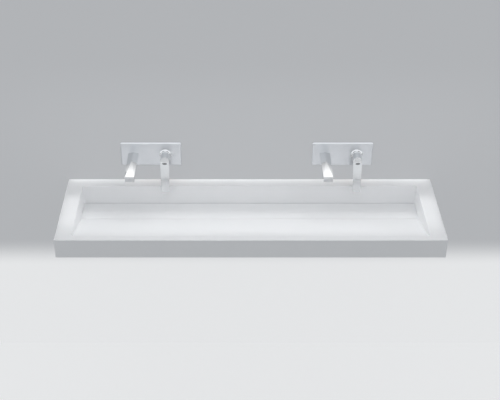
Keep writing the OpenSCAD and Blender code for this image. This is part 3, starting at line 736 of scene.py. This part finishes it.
        weigh_edges(piece, self.soft / self.fillet, anything)
        widen(self.edge, lambda p, d: (
            near(abs(p.x), self.high.x) or near(p.y, self.low.y, self.high.y)))
        widen(self.fillet, lambda p, d: abs(d.z) > ALONG and near(p.x, *bowl_ends)
              and near(p.y, self.front_y, -self.back_rim))
        widen(self.mouth, lambda p, d: near(p.z, self.rim_z) and (
            near(p.x, *bowl_ends) or near(p.y, self.front_y, -self.back_rim)))
        widen(self.foot_round, lambda p, d: self.ledge_z + MM < p.z < self.rim_z - MM
              and abs(d.z) < ALONG and p.y < -self.foot and (
                  near(p.x, *bowl_ends) or near(p.y, self.front_y)))
        round_edges(piece, self.fillet, 4, weighted=True)

    def cut_waste(self, piece: Piece) -> None:
        """Cuts the waste's seat and hole, each a clearance wider than the fitting.

        Args:
            piece: the casting.
        """
        low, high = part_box("waste_fitting")
        nut_low, nut_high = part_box("waste_nut")
        middle = (low + high) / 2
        seat = add_rod("seat", (high.x - low.x) / 2 + MM,
                       (middle.x, middle.y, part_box("waste_top_seal")[0].z), THROUGH, Axis.UP)
        hole = add_rod("hole", self.waste_hole * (nut_high.x - nut_low.x) / 2,
                       (middle.x, middle.y, self.low.z - MM), self.waste_deep, Axis.UP)
        cut_with(piece, seat, hole)

    def make_casting(self) -> None:
        """Models the casting."""
        piece = add_block("trough_casting", (self.low.x, self.low.y, self.apron_z), self.high)
        self.hollow_bowl(piece)
        self.hollow_underside(piece)
        self.round_off(piece)
        self.cut_waste(piece)
        hand_over(piece, SOLID_SURFACE, "solid_surface", "root", "trough")

    def make_cover(self) -> None:
        """Models the drain cover, whose upper rear edge hangs over the slot."""
        low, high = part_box("drain_cover")
        piece = add_block("cover_slab", low, high)
        slice_faces(piece, lambda p, n: n.y > ALONG, {"z": (high.z - self.nose_high,)})
        push(piece, lambda p, n: n.y > ALONG and p.z > high.z - self.nose_high,
             (0, self.nose, 0))
        weigh_edges(piece, 1.0, lambda p, d: abs(d.z) > ALONG)
        round_edges(piece, self.fillet, 6, weighted=True)
        round_edges(piece, self.cover_edge, 3)
        hand_over(piece, SOLID_SURFACE, "solid_surface", "drain_cover", "drain_cover")

    def build(self) -> None:
        """Makes both pieces."""
        self.make_casting()
        self.make_cover()


# ---- The taps ----


@dataclass
class LeverTap:
    """One wall-mounted tap: plate, spout, ring and lever, and what is behind them.

    Attributes:
        side: which of the two taps.
        plate_corner: radius of the plate's corners.
        plate_edge: size of the bevel on its outer edges.
        plate_round: radius of that bevel's own edges.
        hole_gap: clearance round what passes through the plate.
        hole_from: how far behind the finished wall the rods that cut those holes start.
        ring_edge: size of the bevel on the ring's outer edge.
        ring_bore: radius of the ring's bore, as a share of its outer radius.
        flange_edge: size of the bevel on the flange that turns in the ring.
        neck_radius: radius of the neck in front of that flange.
        travel: how far the lever tilts, in degrees.
        slot_gap: clearance of the stem's slot at its sides, below it and above it.
        ridge: length of the spout's ridge, from the plate to the top facet.
        ridge_drop: how far the ridge drops towards the plate.
        shoulder_drop: how far the shoulders drop at the plate.
        tip: width of the spout's tip.
        spout_round: radius of the spout's edges.
        mouth_gap: clearance round the aerator in its mouth.
        mouth_deep: length of the rod that cuts the mouth.
        hub_radius: radius of the lever's hub.
        hub_end: distance from the wall to the hub's end.
        hub_lip: width of the lip round its end.
        hub_round: radius of its outer edge there.
        dish: depth of the hollow in its end.
        slant: the blade's slant away from the wall, in degrees.
        blade_top: the blade's width at the hub.
        blade_end: its width at its free end.
        blade_thick: its thickness.
        blade_in: how far its front face lies behind the hub's end, at the lever's axis.
        blade_round: radius of its edges.
        eye_gap: how much deeper than the dish its eye is cut.
        blade_long: its length below the lever's axis.
        pivot_out: distance from the wall to the lever's pivot.
        ball: radius of the hollow in the hub's rear, which clears the dome.
    """

    side: Side
    plate_corner: float = 0.006
    plate_edge: float = 0.0031
    plate_round: float = 0.0003
    hole_gap: float = 0.0003
    hole_from: float = 0.01
    ring_edge: float = 0.0012
    ring_bore: float = 0.55
    flange_edge: float = 0.0024
    neck_radius: float = 0.0176
    travel: float = 22.0
    slot_gap: Point = (0.0001, 0.0003, 0.0004)
    ridge: float = 0.055
    ridge_drop: float = 0.0015
    shoulder_drop: float = 0.006
    tip: float = 0.035
    spout_round: float = 0.0005
    mouth_gap: float = 0.0001
    mouth_deep: float = 0.01
    hub_radius: float = 0.017
    hub_end: float = 0.058
    hub_lip: float = 0.0015
    hub_round: float = 0.0012
    dish: float = 0.0037
    slant: float = 12.0
    blade_top: float = 0.034
    blade_end: float = 0.029
    blade_thick: float = 0.005
    blade_in: float = 0.0015
    blade_round: float = 0.0004
    eye_gap: float = 0.0003
    blade_long: float = 0.126
    pivot_out: float = 0.003
    ball: float = 0.024

    def node(self, name: str) -> str:
        """Returns the name of this tap's solid of that name."""
        return f"{self.side.value}_{name}"

    def make_plate(self) -> None:
        """Models the plate, with its two holes."""
        low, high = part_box(self.node("tap_plate"))
        piece = add_block(self.node("face_plate"), low, high)
        weigh_edges(piece, 1.0, lambda p, d: abs(d.y) > ALONG)
        round_edges(piece, self.plate_corner, 6, weighted=True)
        round_edges(piece, self.plate_edge, 1)
        round_edges(piece, self.plate_round, 2, angle=30.0)
        for name in ("cartridge", "spout_nipple"):
            low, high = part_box(self.node(name))
            middle = (low + high) / 2
            cut_with(piece, add_rod("hole", (high.x - low.x) / 2 + self.hole_gap,
                                    (middle.x, self.hole_from, middle.z), THROUGH,
                                    Axis.OUT_OF_WALL))
        hand_over(piece, SATIN_CHROME, "satin_chrome", "root", self.node("tap_plate"))

    def make_spout(self) -> None:
        """Models the spout: a bar whose ridge opens into one flat facet towards the tip."""
        low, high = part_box(self.node("spout"))
        middle_x = (low.x + high.x) / 2
        piece = add_block(self.node("spout_bar"), low, high)
        rework(piece, Part.FACE, lambda p, n: n.y < -ALONG, bpy.ops.transform.resize,
               value=(self.tip / (high.x - low.x), 1, 1),
               center_override=(middle_x, low.y, high.z))
        slice_faces(piece, lambda p, n: n.z > ALONG, {"x": (middle_x,)})
        rework(piece, Part.EDGE, lambda p, d: near(p.x, middle_x) and near(p.z, high.z)
               and abs(d.y) > ALONG, bpy.ops.mesh.subdivide, number_cuts=1)
        half_way, apex_y = (low.y + high.y) / 2, high.y - self.ridge
        shift(piece, lambda p, n: near(p.x, middle_x) and near(p.y, half_way),
              (0, apex_y - half_way, 0))
        for end_y in (low.y, high.y):
            for side in (-1, 1):
                rework(piece, Part.CORNER, lambda p, n: near(p.z, high.z) and (
                    near(p.y, apex_y) or (near(p.y, end_y) and (p.x - middle_x) * side > MM)),
                       bpy.ops.mesh.vert_connect)
        shift(piece, lambda p, n: near(p.z, high.z) and near(p.y, high.y)
              and not near(p.x, middle_x), (0, 0, -self.shoulder_drop))
        shift(piece, lambda p, n: near(p.z, high.z) and near(p.y, high.y),
              (0, 0, -self.ridge_drop))
        tidy_faces(piece)
        rework(piece, Part.EDGE, anything, bpy.ops.mesh.mark_sharp)
        round_edges(piece, self.spout_round, 3, angle=30.0)
        aerator_low, aerator_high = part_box(self.node("aerator"))
        center = (aerator_low + aerator_high) / 2
        cut_with(piece, add_rod("mouth", (aerator_high.x - aerator_low.x) / 2 + self.mouth_gap,
                                (center.x, center.y, aerator_low.z - MM), self.mouth_deep,
                                Axis.UP))
        hand_over(piece, CHROME, "chrome", "root", self.node("spout"))

    def make_ring(self) -> None:
        """Turns the ring round the lever."""
        low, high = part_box(self.node("lever_ring"))
        middle = (low + high) / 2
        radius, thick = (high.x - low.x) / 2, high.y - low.y
        bore = self.ring_bore * radius
        edge = self.ring_edge
        rim = [(radius, thick - edge), (radius - edge, thick)]
        piece = add_turned(self.node("collar_ring"),
                           [(bore, 0), (radius, 0), *rim, (bore, thick), (bore, 0)],
                           (middle.x, high.y, middle.z), Axis.OUT_OF_WALL, FINE)
        hand_over(piece, CHROME, "chrome", "root", self.node("lever_ring"))

    def make_collar(self) -> None:
        """Turns the collar that the lever swivels with: a flange, a neck and a ball."""
        low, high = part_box(self.node("turn_dome"))
        axis_x, axis_z = (low.x + high.x) / 2, (low.z + high.z) / 2
        back, flange = -high.y, (high.x - low.x) / 2
        ball, edge = -low.y - self.pivot_out, self.flange_edge
        start = math.degrees(math.acos(self.neck_radius / ball))
        piece = add_turned(self.node("swivel_collar"), [
            (PINCH, back), (flange, back), (flange - edge, back + edge),
            (self.neck_radius, back + edge), *arc(ball, (0.0, self.pivot_out), start, 89.95, 12),
        ], (axis_x, 0, axis_z), Axis.OUT_OF_WALL, FINE)
        stem_low, stem_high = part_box(self.node("lever_stem"))
        half = (stem_high.x - stem_low.x) / 2
        top = ball * math.sin(math.radians(self.travel) + math.asin(half / ball))
        beside, below, above = self.slot_gap
        cut_with(piece, add_block(
            "slot", (axis_x - half - beside, low.y - MM, axis_z - half - below),
            (axis_x + half + beside, high.y + MM, axis_z + top + above)))
        hand_over(piece, CHROME, "chrome", self.node("swivel"), self.node("turn_dome"), angle=30.0)

    def make_handle(self) -> None:
        """Models the lever: a turned hub with a dished end, and the blade that hangs from it."""
        low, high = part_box(self.node("turn_dome"))
        axis_x = (low.x + high.x) / 2
        axis_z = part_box(self.node("lever_handle"))[1].z - self.hub_radius
        rear = self.pivot_out + math.sqrt(self.ball ** 2 - self.hub_radius ** 2)
        reach = math.degrees(math.asin(self.hub_radius / self.ball))
        hollow = arc(self.ball, (0.0, self.pivot_out), 89.9, 90 - reach, 6)
        edge = self.hub_round
        rim = arc(edge, (self.hub_radius - edge, self.hub_end - edge), 0, 90, 4)
        dish_edge = self.hub_radius - self.hub_lip
        dish_radius = (dish_edge ** 2 + self.dish ** 2) / (2 * self.dish)
        dish_half = math.degrees(math.asin(dish_edge / dish_radius))
        dish = arc(dish_radius, (0.0, self.hub_end - self.dish + dish_radius),
                   dish_half - 90, -89.9, 8)
        hub = add_turned(self.node("lever_hub"), [*hollow, (self.hub_radius, rear), *rim, *dish],
                         (axis_x, 0, axis_z), Axis.OUT_OF_WALL, FINE)
        blade = self.make_blade(axis_x, axis_z)
        only(hub)
        blade.select_set(True)
        bpy.ops.object.join()
        hand_over(hub, CHROME, "chrome", self.node("lever"), self.node("lever_handle"))

    def make_blade(self, axis_x: float, axis_z: float) -> Piece:
        """Models the blade as a tapered, slanted slab that leaves the hub's dish open.

        Args:
            axis_x: the lever's axis along the wall.
            axis_z: the height of the lever's axis.

        Returns:
            The blade.
        """
        root = -self.hub_end + self.blade_thick + self.blade_in
        half = self.blade_top / 2
        blade = add_block("blade", (axis_x - half, root - self.blade_thick,
                                    axis_z - self.blade_long), (axis_x + half, root, axis_z))
        rework(blade, Part.FACE, lambda p, n: n.z < -ALONG, bpy.ops.transform.resize,
               value=(self.blade_end / self.blade_top, 1, 1),
               center_override=(axis_x, root, axis_z - self.blade_long))
        blade.location = (-axis_x, -root, -axis_z)
        place_new("blade")
        blade.rotation_euler = (math.radians(-self.slant), 0, 0)
        blade.location = (axis_x, root, axis_z)
        place_new("blade")
        cut_with(blade, add_rod("eye", self.hub_radius - self.hub_lip,
                                (axis_x, self.dish + self.eye_gap - self.hub_end, axis_z),
                                THROUGH, Axis.OUT_OF_WALL, FINE))
        round_edges(blade, self.blade_round, 2)
        return blade

    def build(self) -> None:
        """Makes and dresses the tap."""
        self.make_plate()
        self.make_spout()
        self.make_ring()
        self.make_collar()
        self.make_handle()
        TAP_INSIDE.build(self.node(""))


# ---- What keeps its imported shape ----


@dataclass(frozen=True)
class PackedGroup:
    """A sub-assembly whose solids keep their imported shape, and only get finishes.

    Attributes:
        finishes: finish to the names of its solids, with spaces between.
    """

    finishes: dict[Finish, str]

    def build(self, start: str = "") -> None:
        """Gives the solids their finishes.

        Args:
            start: what each solid's name starts with.
        """
        for finish, names in self.finishes.items():
            for name in names.split():
                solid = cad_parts[start + name]
                if not solid.material_slots:
                    solid.data.materials.append(None)
                for slot in solid.material_slots:
                    slot.material = finish.material()
                log.info("%s: packed solid in %s", start + name, finish.name)


# What is inside and behind each tap
TAP_INSIDE = PackedGroup({
    RUBBER: "plate_seal", BRASS: "spout_nipple valve_body", CHROME: "aerator",
    ACETAL: "cartridge turn_carrier", COPPER: "supply_pipes",
    STAINLESS: "pivot_pin lever_stem", ZINC: "grub_screw",
})
# The steel in the wall, the brackets on it, and their bolts
WALL_CARRIER = PackedGroup({
    POWDER_COAT: "left_bracket right_bracket",
    GALVANISED: "left_upright right_upright mixer_rail pipe_rail",
    ZINC: "trough_bolts spacer_sleeves rail_bolts body_screws",
    RUBBER: "bracket_pads", POLYAMIDE: "pipe_clips", BRASS: "inlet_nuts supply_tails",
})
# The waste fitting and the bottle trap under it
WASTE_AND_TRAP = PackedGroup({
    CHROME: "waste_fitting waste_nut trap_inlet_nut trap_inlet_pipe trap_bottle trap_cup "
            "trap_outlet_nut trap_outlet_pipe wall_rosette",
    RUBBER: "waste_top_seal waste_back_seal trap_seals",
})


# ---- The studio ----


def set_up(data: bpy.types.ID, place: Sequence[float],
           turn: Sequence[float] = (0.0, 0.0, 0.0)) -> Piece:
    """Puts a lamp or the camera in the room, unseen by the camera and in chrome.

    Args:
        data: what it is made from, which also gives its name.
        place: where it stands.
        turn: its rotation, from facing down.

    Returns:
        The new object.
    """
    thing = bpy.data.objects.new(data.name, data)
    bpy.context.scene.collection.objects.link(thing)
    thing.location, thing.rotation_euler = place, turn
    thing.visible_camera = thing.visible_glossy = False
    return thing


@dataclass(frozen=True)
class Softbox:
    """A rectangular lamp.

    Attributes:
        name: the lamp's name.
        place: where its middle hangs.
        aim: the point that it faces.
        size: its width along the wall and its height, in metres.
        watts: its power.
        spread: the full angle of its beam, in degrees.
    """

    name: str
    place: Point
    aim: Point
    size: Span
    watts: float
    spread: float = 180.0

    def hang(self) -> None:
        """Adds the lamp."""
        lamp = bpy.data.lights.new(self.name, "AREA")
        lamp.shape = "RECTANGLE"
        lamp.size, lamp.size_y = self.size
        lamp.energy = self.watts
        lamp.spread = math.radians(self.spread)
        way = Vector(self.aim) - Vector(self.place)
        set_up(lamp, self.place, way.to_track_quat("-Z", "Y").to_euler())


@dataclass(frozen=True)
class FramedSpots:
    """A row of small spot lamps overhead, whose shutters frame one soft-edged strip of light.

    Attributes:
        name: the row's name.
        back: where along Y the strip starts at its back edge, and where it is full.
        front: where along Y it is still full in front, and where it ends.
        watts: the power of each lamp.
        level: the height at which the strip has this size.
        half_long: half its length.
        side_edge: how far its ends fade.
        height: the height that the lamps hang at.
        spacing: the distance between two lamps.
        count: how many lamps there are.
        cone: the full angle of each lamp's beam, in degrees.
        blend: the share of the cone over which its edge fades.
        bulb: the radius of each lamp.
    """

    name: str
    back: Span
    front: Span
    watts: float
    level: float = 0.12
    half_long: float = 0.692
    side_edge: float = 0.01
    height: float = 3.0
    spacing: float = 0.4
    count: int = 7
    cone: float = 80.0
    blend: float = 0.1
    bulb: float = 0.01

    def hang(self) -> None:
        """Adds the lamps."""
        y = (self.back[0] + self.front[1]) / 2
        for i in range(self.count):
            x = (i - (self.count - 1) / 2) * self.spacing
            lamp = bpy.data.lights.new(f"{self.name}_{i}", "SPOT")
            lamp.energy = self.watts
            lamp.spot_size, lamp.spot_blend = math.radians(self.cone), self.blend
            lamp.shadow_soft_size = self.bulb
            self.shutter(lamp, x, y)
            set_up(lamp, (x, y, self.height))

    def shutter(self, lamp: bpy.types.Light, x: float, y: float) -> None:
        """Frames one lamp's beam, by its direction.

        Args:
            lamp: the lamp, which points down.
            x: its place along the wall.
            y: its distance from the wall, below 0 in the room.
        """
        tree = fresh_tree(lamp)
        way = add_node(tree, "ShaderNodeTexCoord").outputs["Normal"]
        parts = add_node(tree, "ShaderNodeSeparateXYZ", {0: way}).outputs
        end, drop = self.half_long, self.height - self.level
        shares = []
        for axis, at, none, full in (
                ("X", x, -end - self.side_edge, -end), ("X", x, end + self.side_edge, end),
                ("Y", y, *self.back), ("Y", y, self.front[1], self.front[0])):
            lean = combine(tree, "DIVIDE", parts[axis], parts["Z"])
            shares.append(ramp(tree, lean, (at - none) / drop, (at - full) / drop,
                               interpolation_type="SMOOTHSTEP"))
        light = add_node(tree, "ShaderNodeEmission", {
            "Strength": combine(tree, "MULTIPLY", *shares)})
        add_node(tree, "ShaderNodeOutputLight", {"Surface": light.outputs[0]})


@dataclass
class Studio:
    """Floor, wall, lamps, world and camera.

    Attributes:
        floor_drop: height of the rim over the floor.
        wall_color: the backdrop wall's colour behind the object.
        floor_color: the floor's colour, and the wall's at its foot.
        wall_base: height over the origin up to which the wall has the floor's colour.
        wall_rise: height from which it has its own.
        even: how far both lose their shading, seen directly or in chrome, from 0 to 1.
        room: half the width of floor and wall.
        wall_back: how far the backdrop stands behind the finished wall's plane.
        card_out: how far the glow cards and the wash lamp stand in front of it.
        glow_low: height over the origin at which each glow card starts.
        glow_high: height at which it is at its brightest.
        glow_top: its upper edge.
        glow_strength: its brightness there, where 1 is white.
        glow_more: how much wider than the plate it is on each side.
        sky_color: the colour of the light that comes from all round.
        sky_strength: its strength on the object.
        sky_shine: its strength in chrome, straight ahead of the object.
        sky_top: its strength in chrome, straight above and to the sides.
        flag: the strength, in chrome, of the dark flag that hangs in front.
        flag_foot: a direction's share along Z where the flag starts, and where it is full.
        flag_head: the same at its upper edge.
        flag_side: the same at both its sides, along X.
        flag_front: the same towards the room, along Y.
        lens: the camera's focal length, in millimetres.
        film: the width of its sensor, in millimetres.
        shift: how far the picture is shifted sideways, as a share of its width.
        eye: where the camera stands.
        tilt: the camera's angle from straight down, in degrees.
    """

    floor_drop: float = 0.850
    wall_color: str = "#bdbfc2"
    floor_color: str = "#f3f4f5"
    wall_base: float = -0.27
    wall_rise: float = -0.13
    even: float = 0.75
    room: float = 6.0
    wall_back: float = 0.0006
    card_out: float = 0.0004
    glow_low: float = 0.318
    glow_high: float = 0.378
    glow_top: float = 1.1
    glow_strength: float = 1.45
    glow_more: float = 0.02
    sky_color: str = "#f8fbfe"
    sky_strength: float = 0.519
    sky_shine: float = 0.92
    sky_top: float = 1.3
    flag: float = 0.2
    flag_foot: Span = (-0.02, 0.03)
    flag_head: Span = (0.42, 0.27)
    flag_side: Span = (0.65, 0.4)
    flag_front: Span = (0.0, -0.3)
    lens: float = 71.9
    film: float = 36.0
    shift: float = 0.0314
    eye: Point = (-0.0587, -3.2477, 2.2624)
    tilt: float = 55.817

    def lamps(self) -> tuple[Softbox | FramedSpots, ...]:
        """Lists the lamps. The framed ones leave the back of the bowl in soft shade.

        Returns:
            The lamps, with their places, sizes and powers.
        """
        return (
            FramedSpots("bowl_spots", (-0.085, -0.155), (-0.4, -0.41), 2.6),
            FramedSpots("ramp_spots", (-0.085, -0.155), (-0.275, -0.37), 8.8),
            Softbox("left_side", (-1.6, -0.2, 0.5), (0.64, -0.2, 0.115), (0.3, 0.3), 0.12, 40.0),
            Softbox("right_side", (1.6, -0.2, 0.5), (-0.64, -0.2, 0.115), (0.3, 0.3), 0.12, 40.0),
            Softbox("tube", (0.0, -0.33, 0.6), (0.0, -0.25, 0.1), (1.8, 0.1), 1.12),
            Softbox("back_softbox", (0.0, 1.5, 2.0), (0.0, -0.2, 0.1), (3.6, 1.3), 3.7),
            Softbox("wall_wash", (0.0, -self.card_out, 0.1695), (0.0, -1.0, 0.1695),
                    (1.38, 0.025), 0.112),
        )

    def make_stage(self) -> None:
        """Makes the pale floor and wall, clear from behind, and a card for each tap's shine."""
        floor_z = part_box("trough")[1].z - self.floor_drop
        bpy.ops.mesh.primitive_plane_add(size=2 * self.room, location=(0, 0, floor_z))
        floor = place_new("studio_floor")
        floor.data.materials.append(self.paint("pale_floor_paint", self.floor_color))
        bpy.ops.mesh.primitive_plane_add(size=2 * self.room, rotation=(math.pi / 2, 0, 0),
                                         location=(0, self.wall_back, floor_z + self.room))
        wall = place_new("studio_wall")
        wall.data.materials.append(self.paint("pale_wall_paint", self.wall_color))
        wall.visible_shadow = wall.visible_diffuse = False
        for side in Side:
            low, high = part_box(f"{side.value}_tap_plate")
            bpy.ops.mesh.primitive_plane_add(size=1, rotation=(math.pi / 2, 0, 0))
            card = place_new(f"{side.value}_glow_card")
            card.scale = (high.x - low.x + 2 * self.glow_more, 1, self.glow_top - self.glow_low)
            card.location = ((low.x + high.x) / 2, -self.card_out,
                             (self.glow_top + self.glow_low) / 2)
            card = place_new(card.name)
            card.data.materials.append(self.glow())
            card.visible_camera = card.visible_diffuse = card.visible_shadow = False

    def paint(self, name: str, color: str) -> bpy.types.Material:
        """Makes a matt paint that is clear from behind, and evens out what is seen of it.

        Args:
            name: the material's name.
            color: its colour.

        Returns:
            The material.
        """
        made = bpy.data.materials.new(name)
        tree = fresh_tree(made)
        place = add_node(tree, "ShaderNodeTexCoord").outputs["Object"]
        height = add_node(tree, "ShaderNodeSeparateXYZ", {0: place}).outputs["Z"]
        upper = ramp(tree, height, self.wall_base, self.wall_rise,
                     interpolation_type="SMOOTHSTEP")
        tone = add_node(tree, "ShaderNodeMix", {
            0: upper, 6: linear(self.floor_color), 7: linear(color)},
            data_type="RGBA").outputs[2]
        matt = add_node(tree, "ShaderNodeBsdfDiffuse", {"Color": tone})
        flat = add_node(tree, "ShaderNodeEmission", {"Color": tone, "Strength": 1.0})
        way = add_node(tree, "ShaderNodeLightPath").outputs
        seen = combine(tree, "MAXIMUM", way["Is Camera Ray"], way["Is Glossy Ray"],
                       way["Is Transmission Ray"])
        share = ramp(tree, seen, high=self.even)
        front = add_node(tree, "ShaderNodeMixShader", {
            0: share, 1: matt.outputs[0], 2: flat.outputs[0]})
        clear = add_node(tree, "ShaderNodeBsdfTransparent")
        behind = add_node(tree, "ShaderNodeNewGeometry").outputs["Backfacing"]
        both = add_node(tree, "ShaderNodeMixShader", {
            0: behind, 1: front.outputs[0], 2: clear.outputs[0]})
        add_node(tree, "ShaderNodeOutputMaterial", {"Surface": both.outputs[0]})
        return made

    def glow(self) -> bpy.types.Material:
        """Makes the card's light, which rises from nothing at its lower edge.

        Returns:
            The material.
        """
        made = bpy.data.materials.new("white_glow")
        tree = fresh_tree(made)
        place = add_node(tree, "ShaderNodeTexCoord").outputs["Object"]
        height = add_node(tree, "ShaderNodeSeparateXYZ", {0: place}).outputs["Z"]
        rise = ramp(tree, height, self.glow_low, self.glow_high)
        light = add_node(tree, "ShaderNodeEmission", {"Strength": self.glow_strength})
        clear = add_node(tree, "ShaderNodeBsdfTransparent")
        both = add_node(tree, "ShaderNodeMixShader", {
            0: rise, 1: clear.outputs[0], 2: light.outputs[0]})
        add_node(tree, "ShaderNodeOutputMaterial", {"Surface": both.outputs[0]})
        return made

    def light(self) -> None:
        """Hangs the lamps, and fills the room with even light, in chrome brighter at the top."""
        for lamp in self.lamps():
            lamp.hang()
        world = bpy.data.worlds.new("studio_world")
        bpy.context.scene.world = world
        tree = fresh_tree(world)
        shiny = add_node(tree, "ShaderNodeLightPath").outputs["Is Glossy Ray"]
        way = add_node(tree, "ShaderNodeTexCoord").outputs["Generated"]
        parts = add_node(tree, "ShaderNodeSeparateXYZ", {0: way}).outputs
        aside = add_node(tree, "ShaderNodeMath", {0: parts["X"]}, operation="ABSOLUTE").outputs[0]
        shine = ramp(tree, combine(tree, "MAXIMUM", parts["Z"], aside),
                     low=self.sky_shine, high=self.sky_top)
        dark = combine(tree, "MULTIPLY", *(ramp(tree, value, *ends) for value, ends in (
            (parts["Z"], self.flag_foot), (parts["Z"], self.flag_head),
            (aside, self.flag_side), (parts["Y"], self.flag_front))))
        strength = ramp(tree, shiny, low=self.sky_strength,
                        high=ramp(tree, dark, low=shine, high=self.flag))
        sky = add_node(tree, "ShaderNodeBackground", {
            "Color": linear(self.sky_color), "Strength": strength})
        add_node(tree, "ShaderNodeOutputWorld", {"Surface": sky.outputs[0]})

    def add_camera(self) -> None:
        """Adds the camera at the photograph's place, found from the trough's edges and tiles."""
        data = bpy.data.cameras.new("camera")
        data.lens, data.sensor_width, data.shift_x = self.lens, self.film, self.shift
        bpy.context.scene.camera = set_up(data, self.eye, (math.radians(self.tilt), 0, 0))

    def build(self) -> None:
        """Makes the studio."""
        bpy.context.scene.view_settings.view_transform = "Standard"
        self.make_stage()
        self.light()
        self.add_camera()
        log.info("studio: floor, wall, lamps and camera")


def main() -> None:
    """Builds the sub-assemblies in order."""
    logging.basicConfig(level=logging.INFO, format="%(message)s")
    Studio().build()
    Trough().build()
    for side in Side:
        LeverTap(side).build()
    WALL_CARRIER.build()
    WASTE_AND_TRAP.build()


if __name__ == "__main__":
    main()
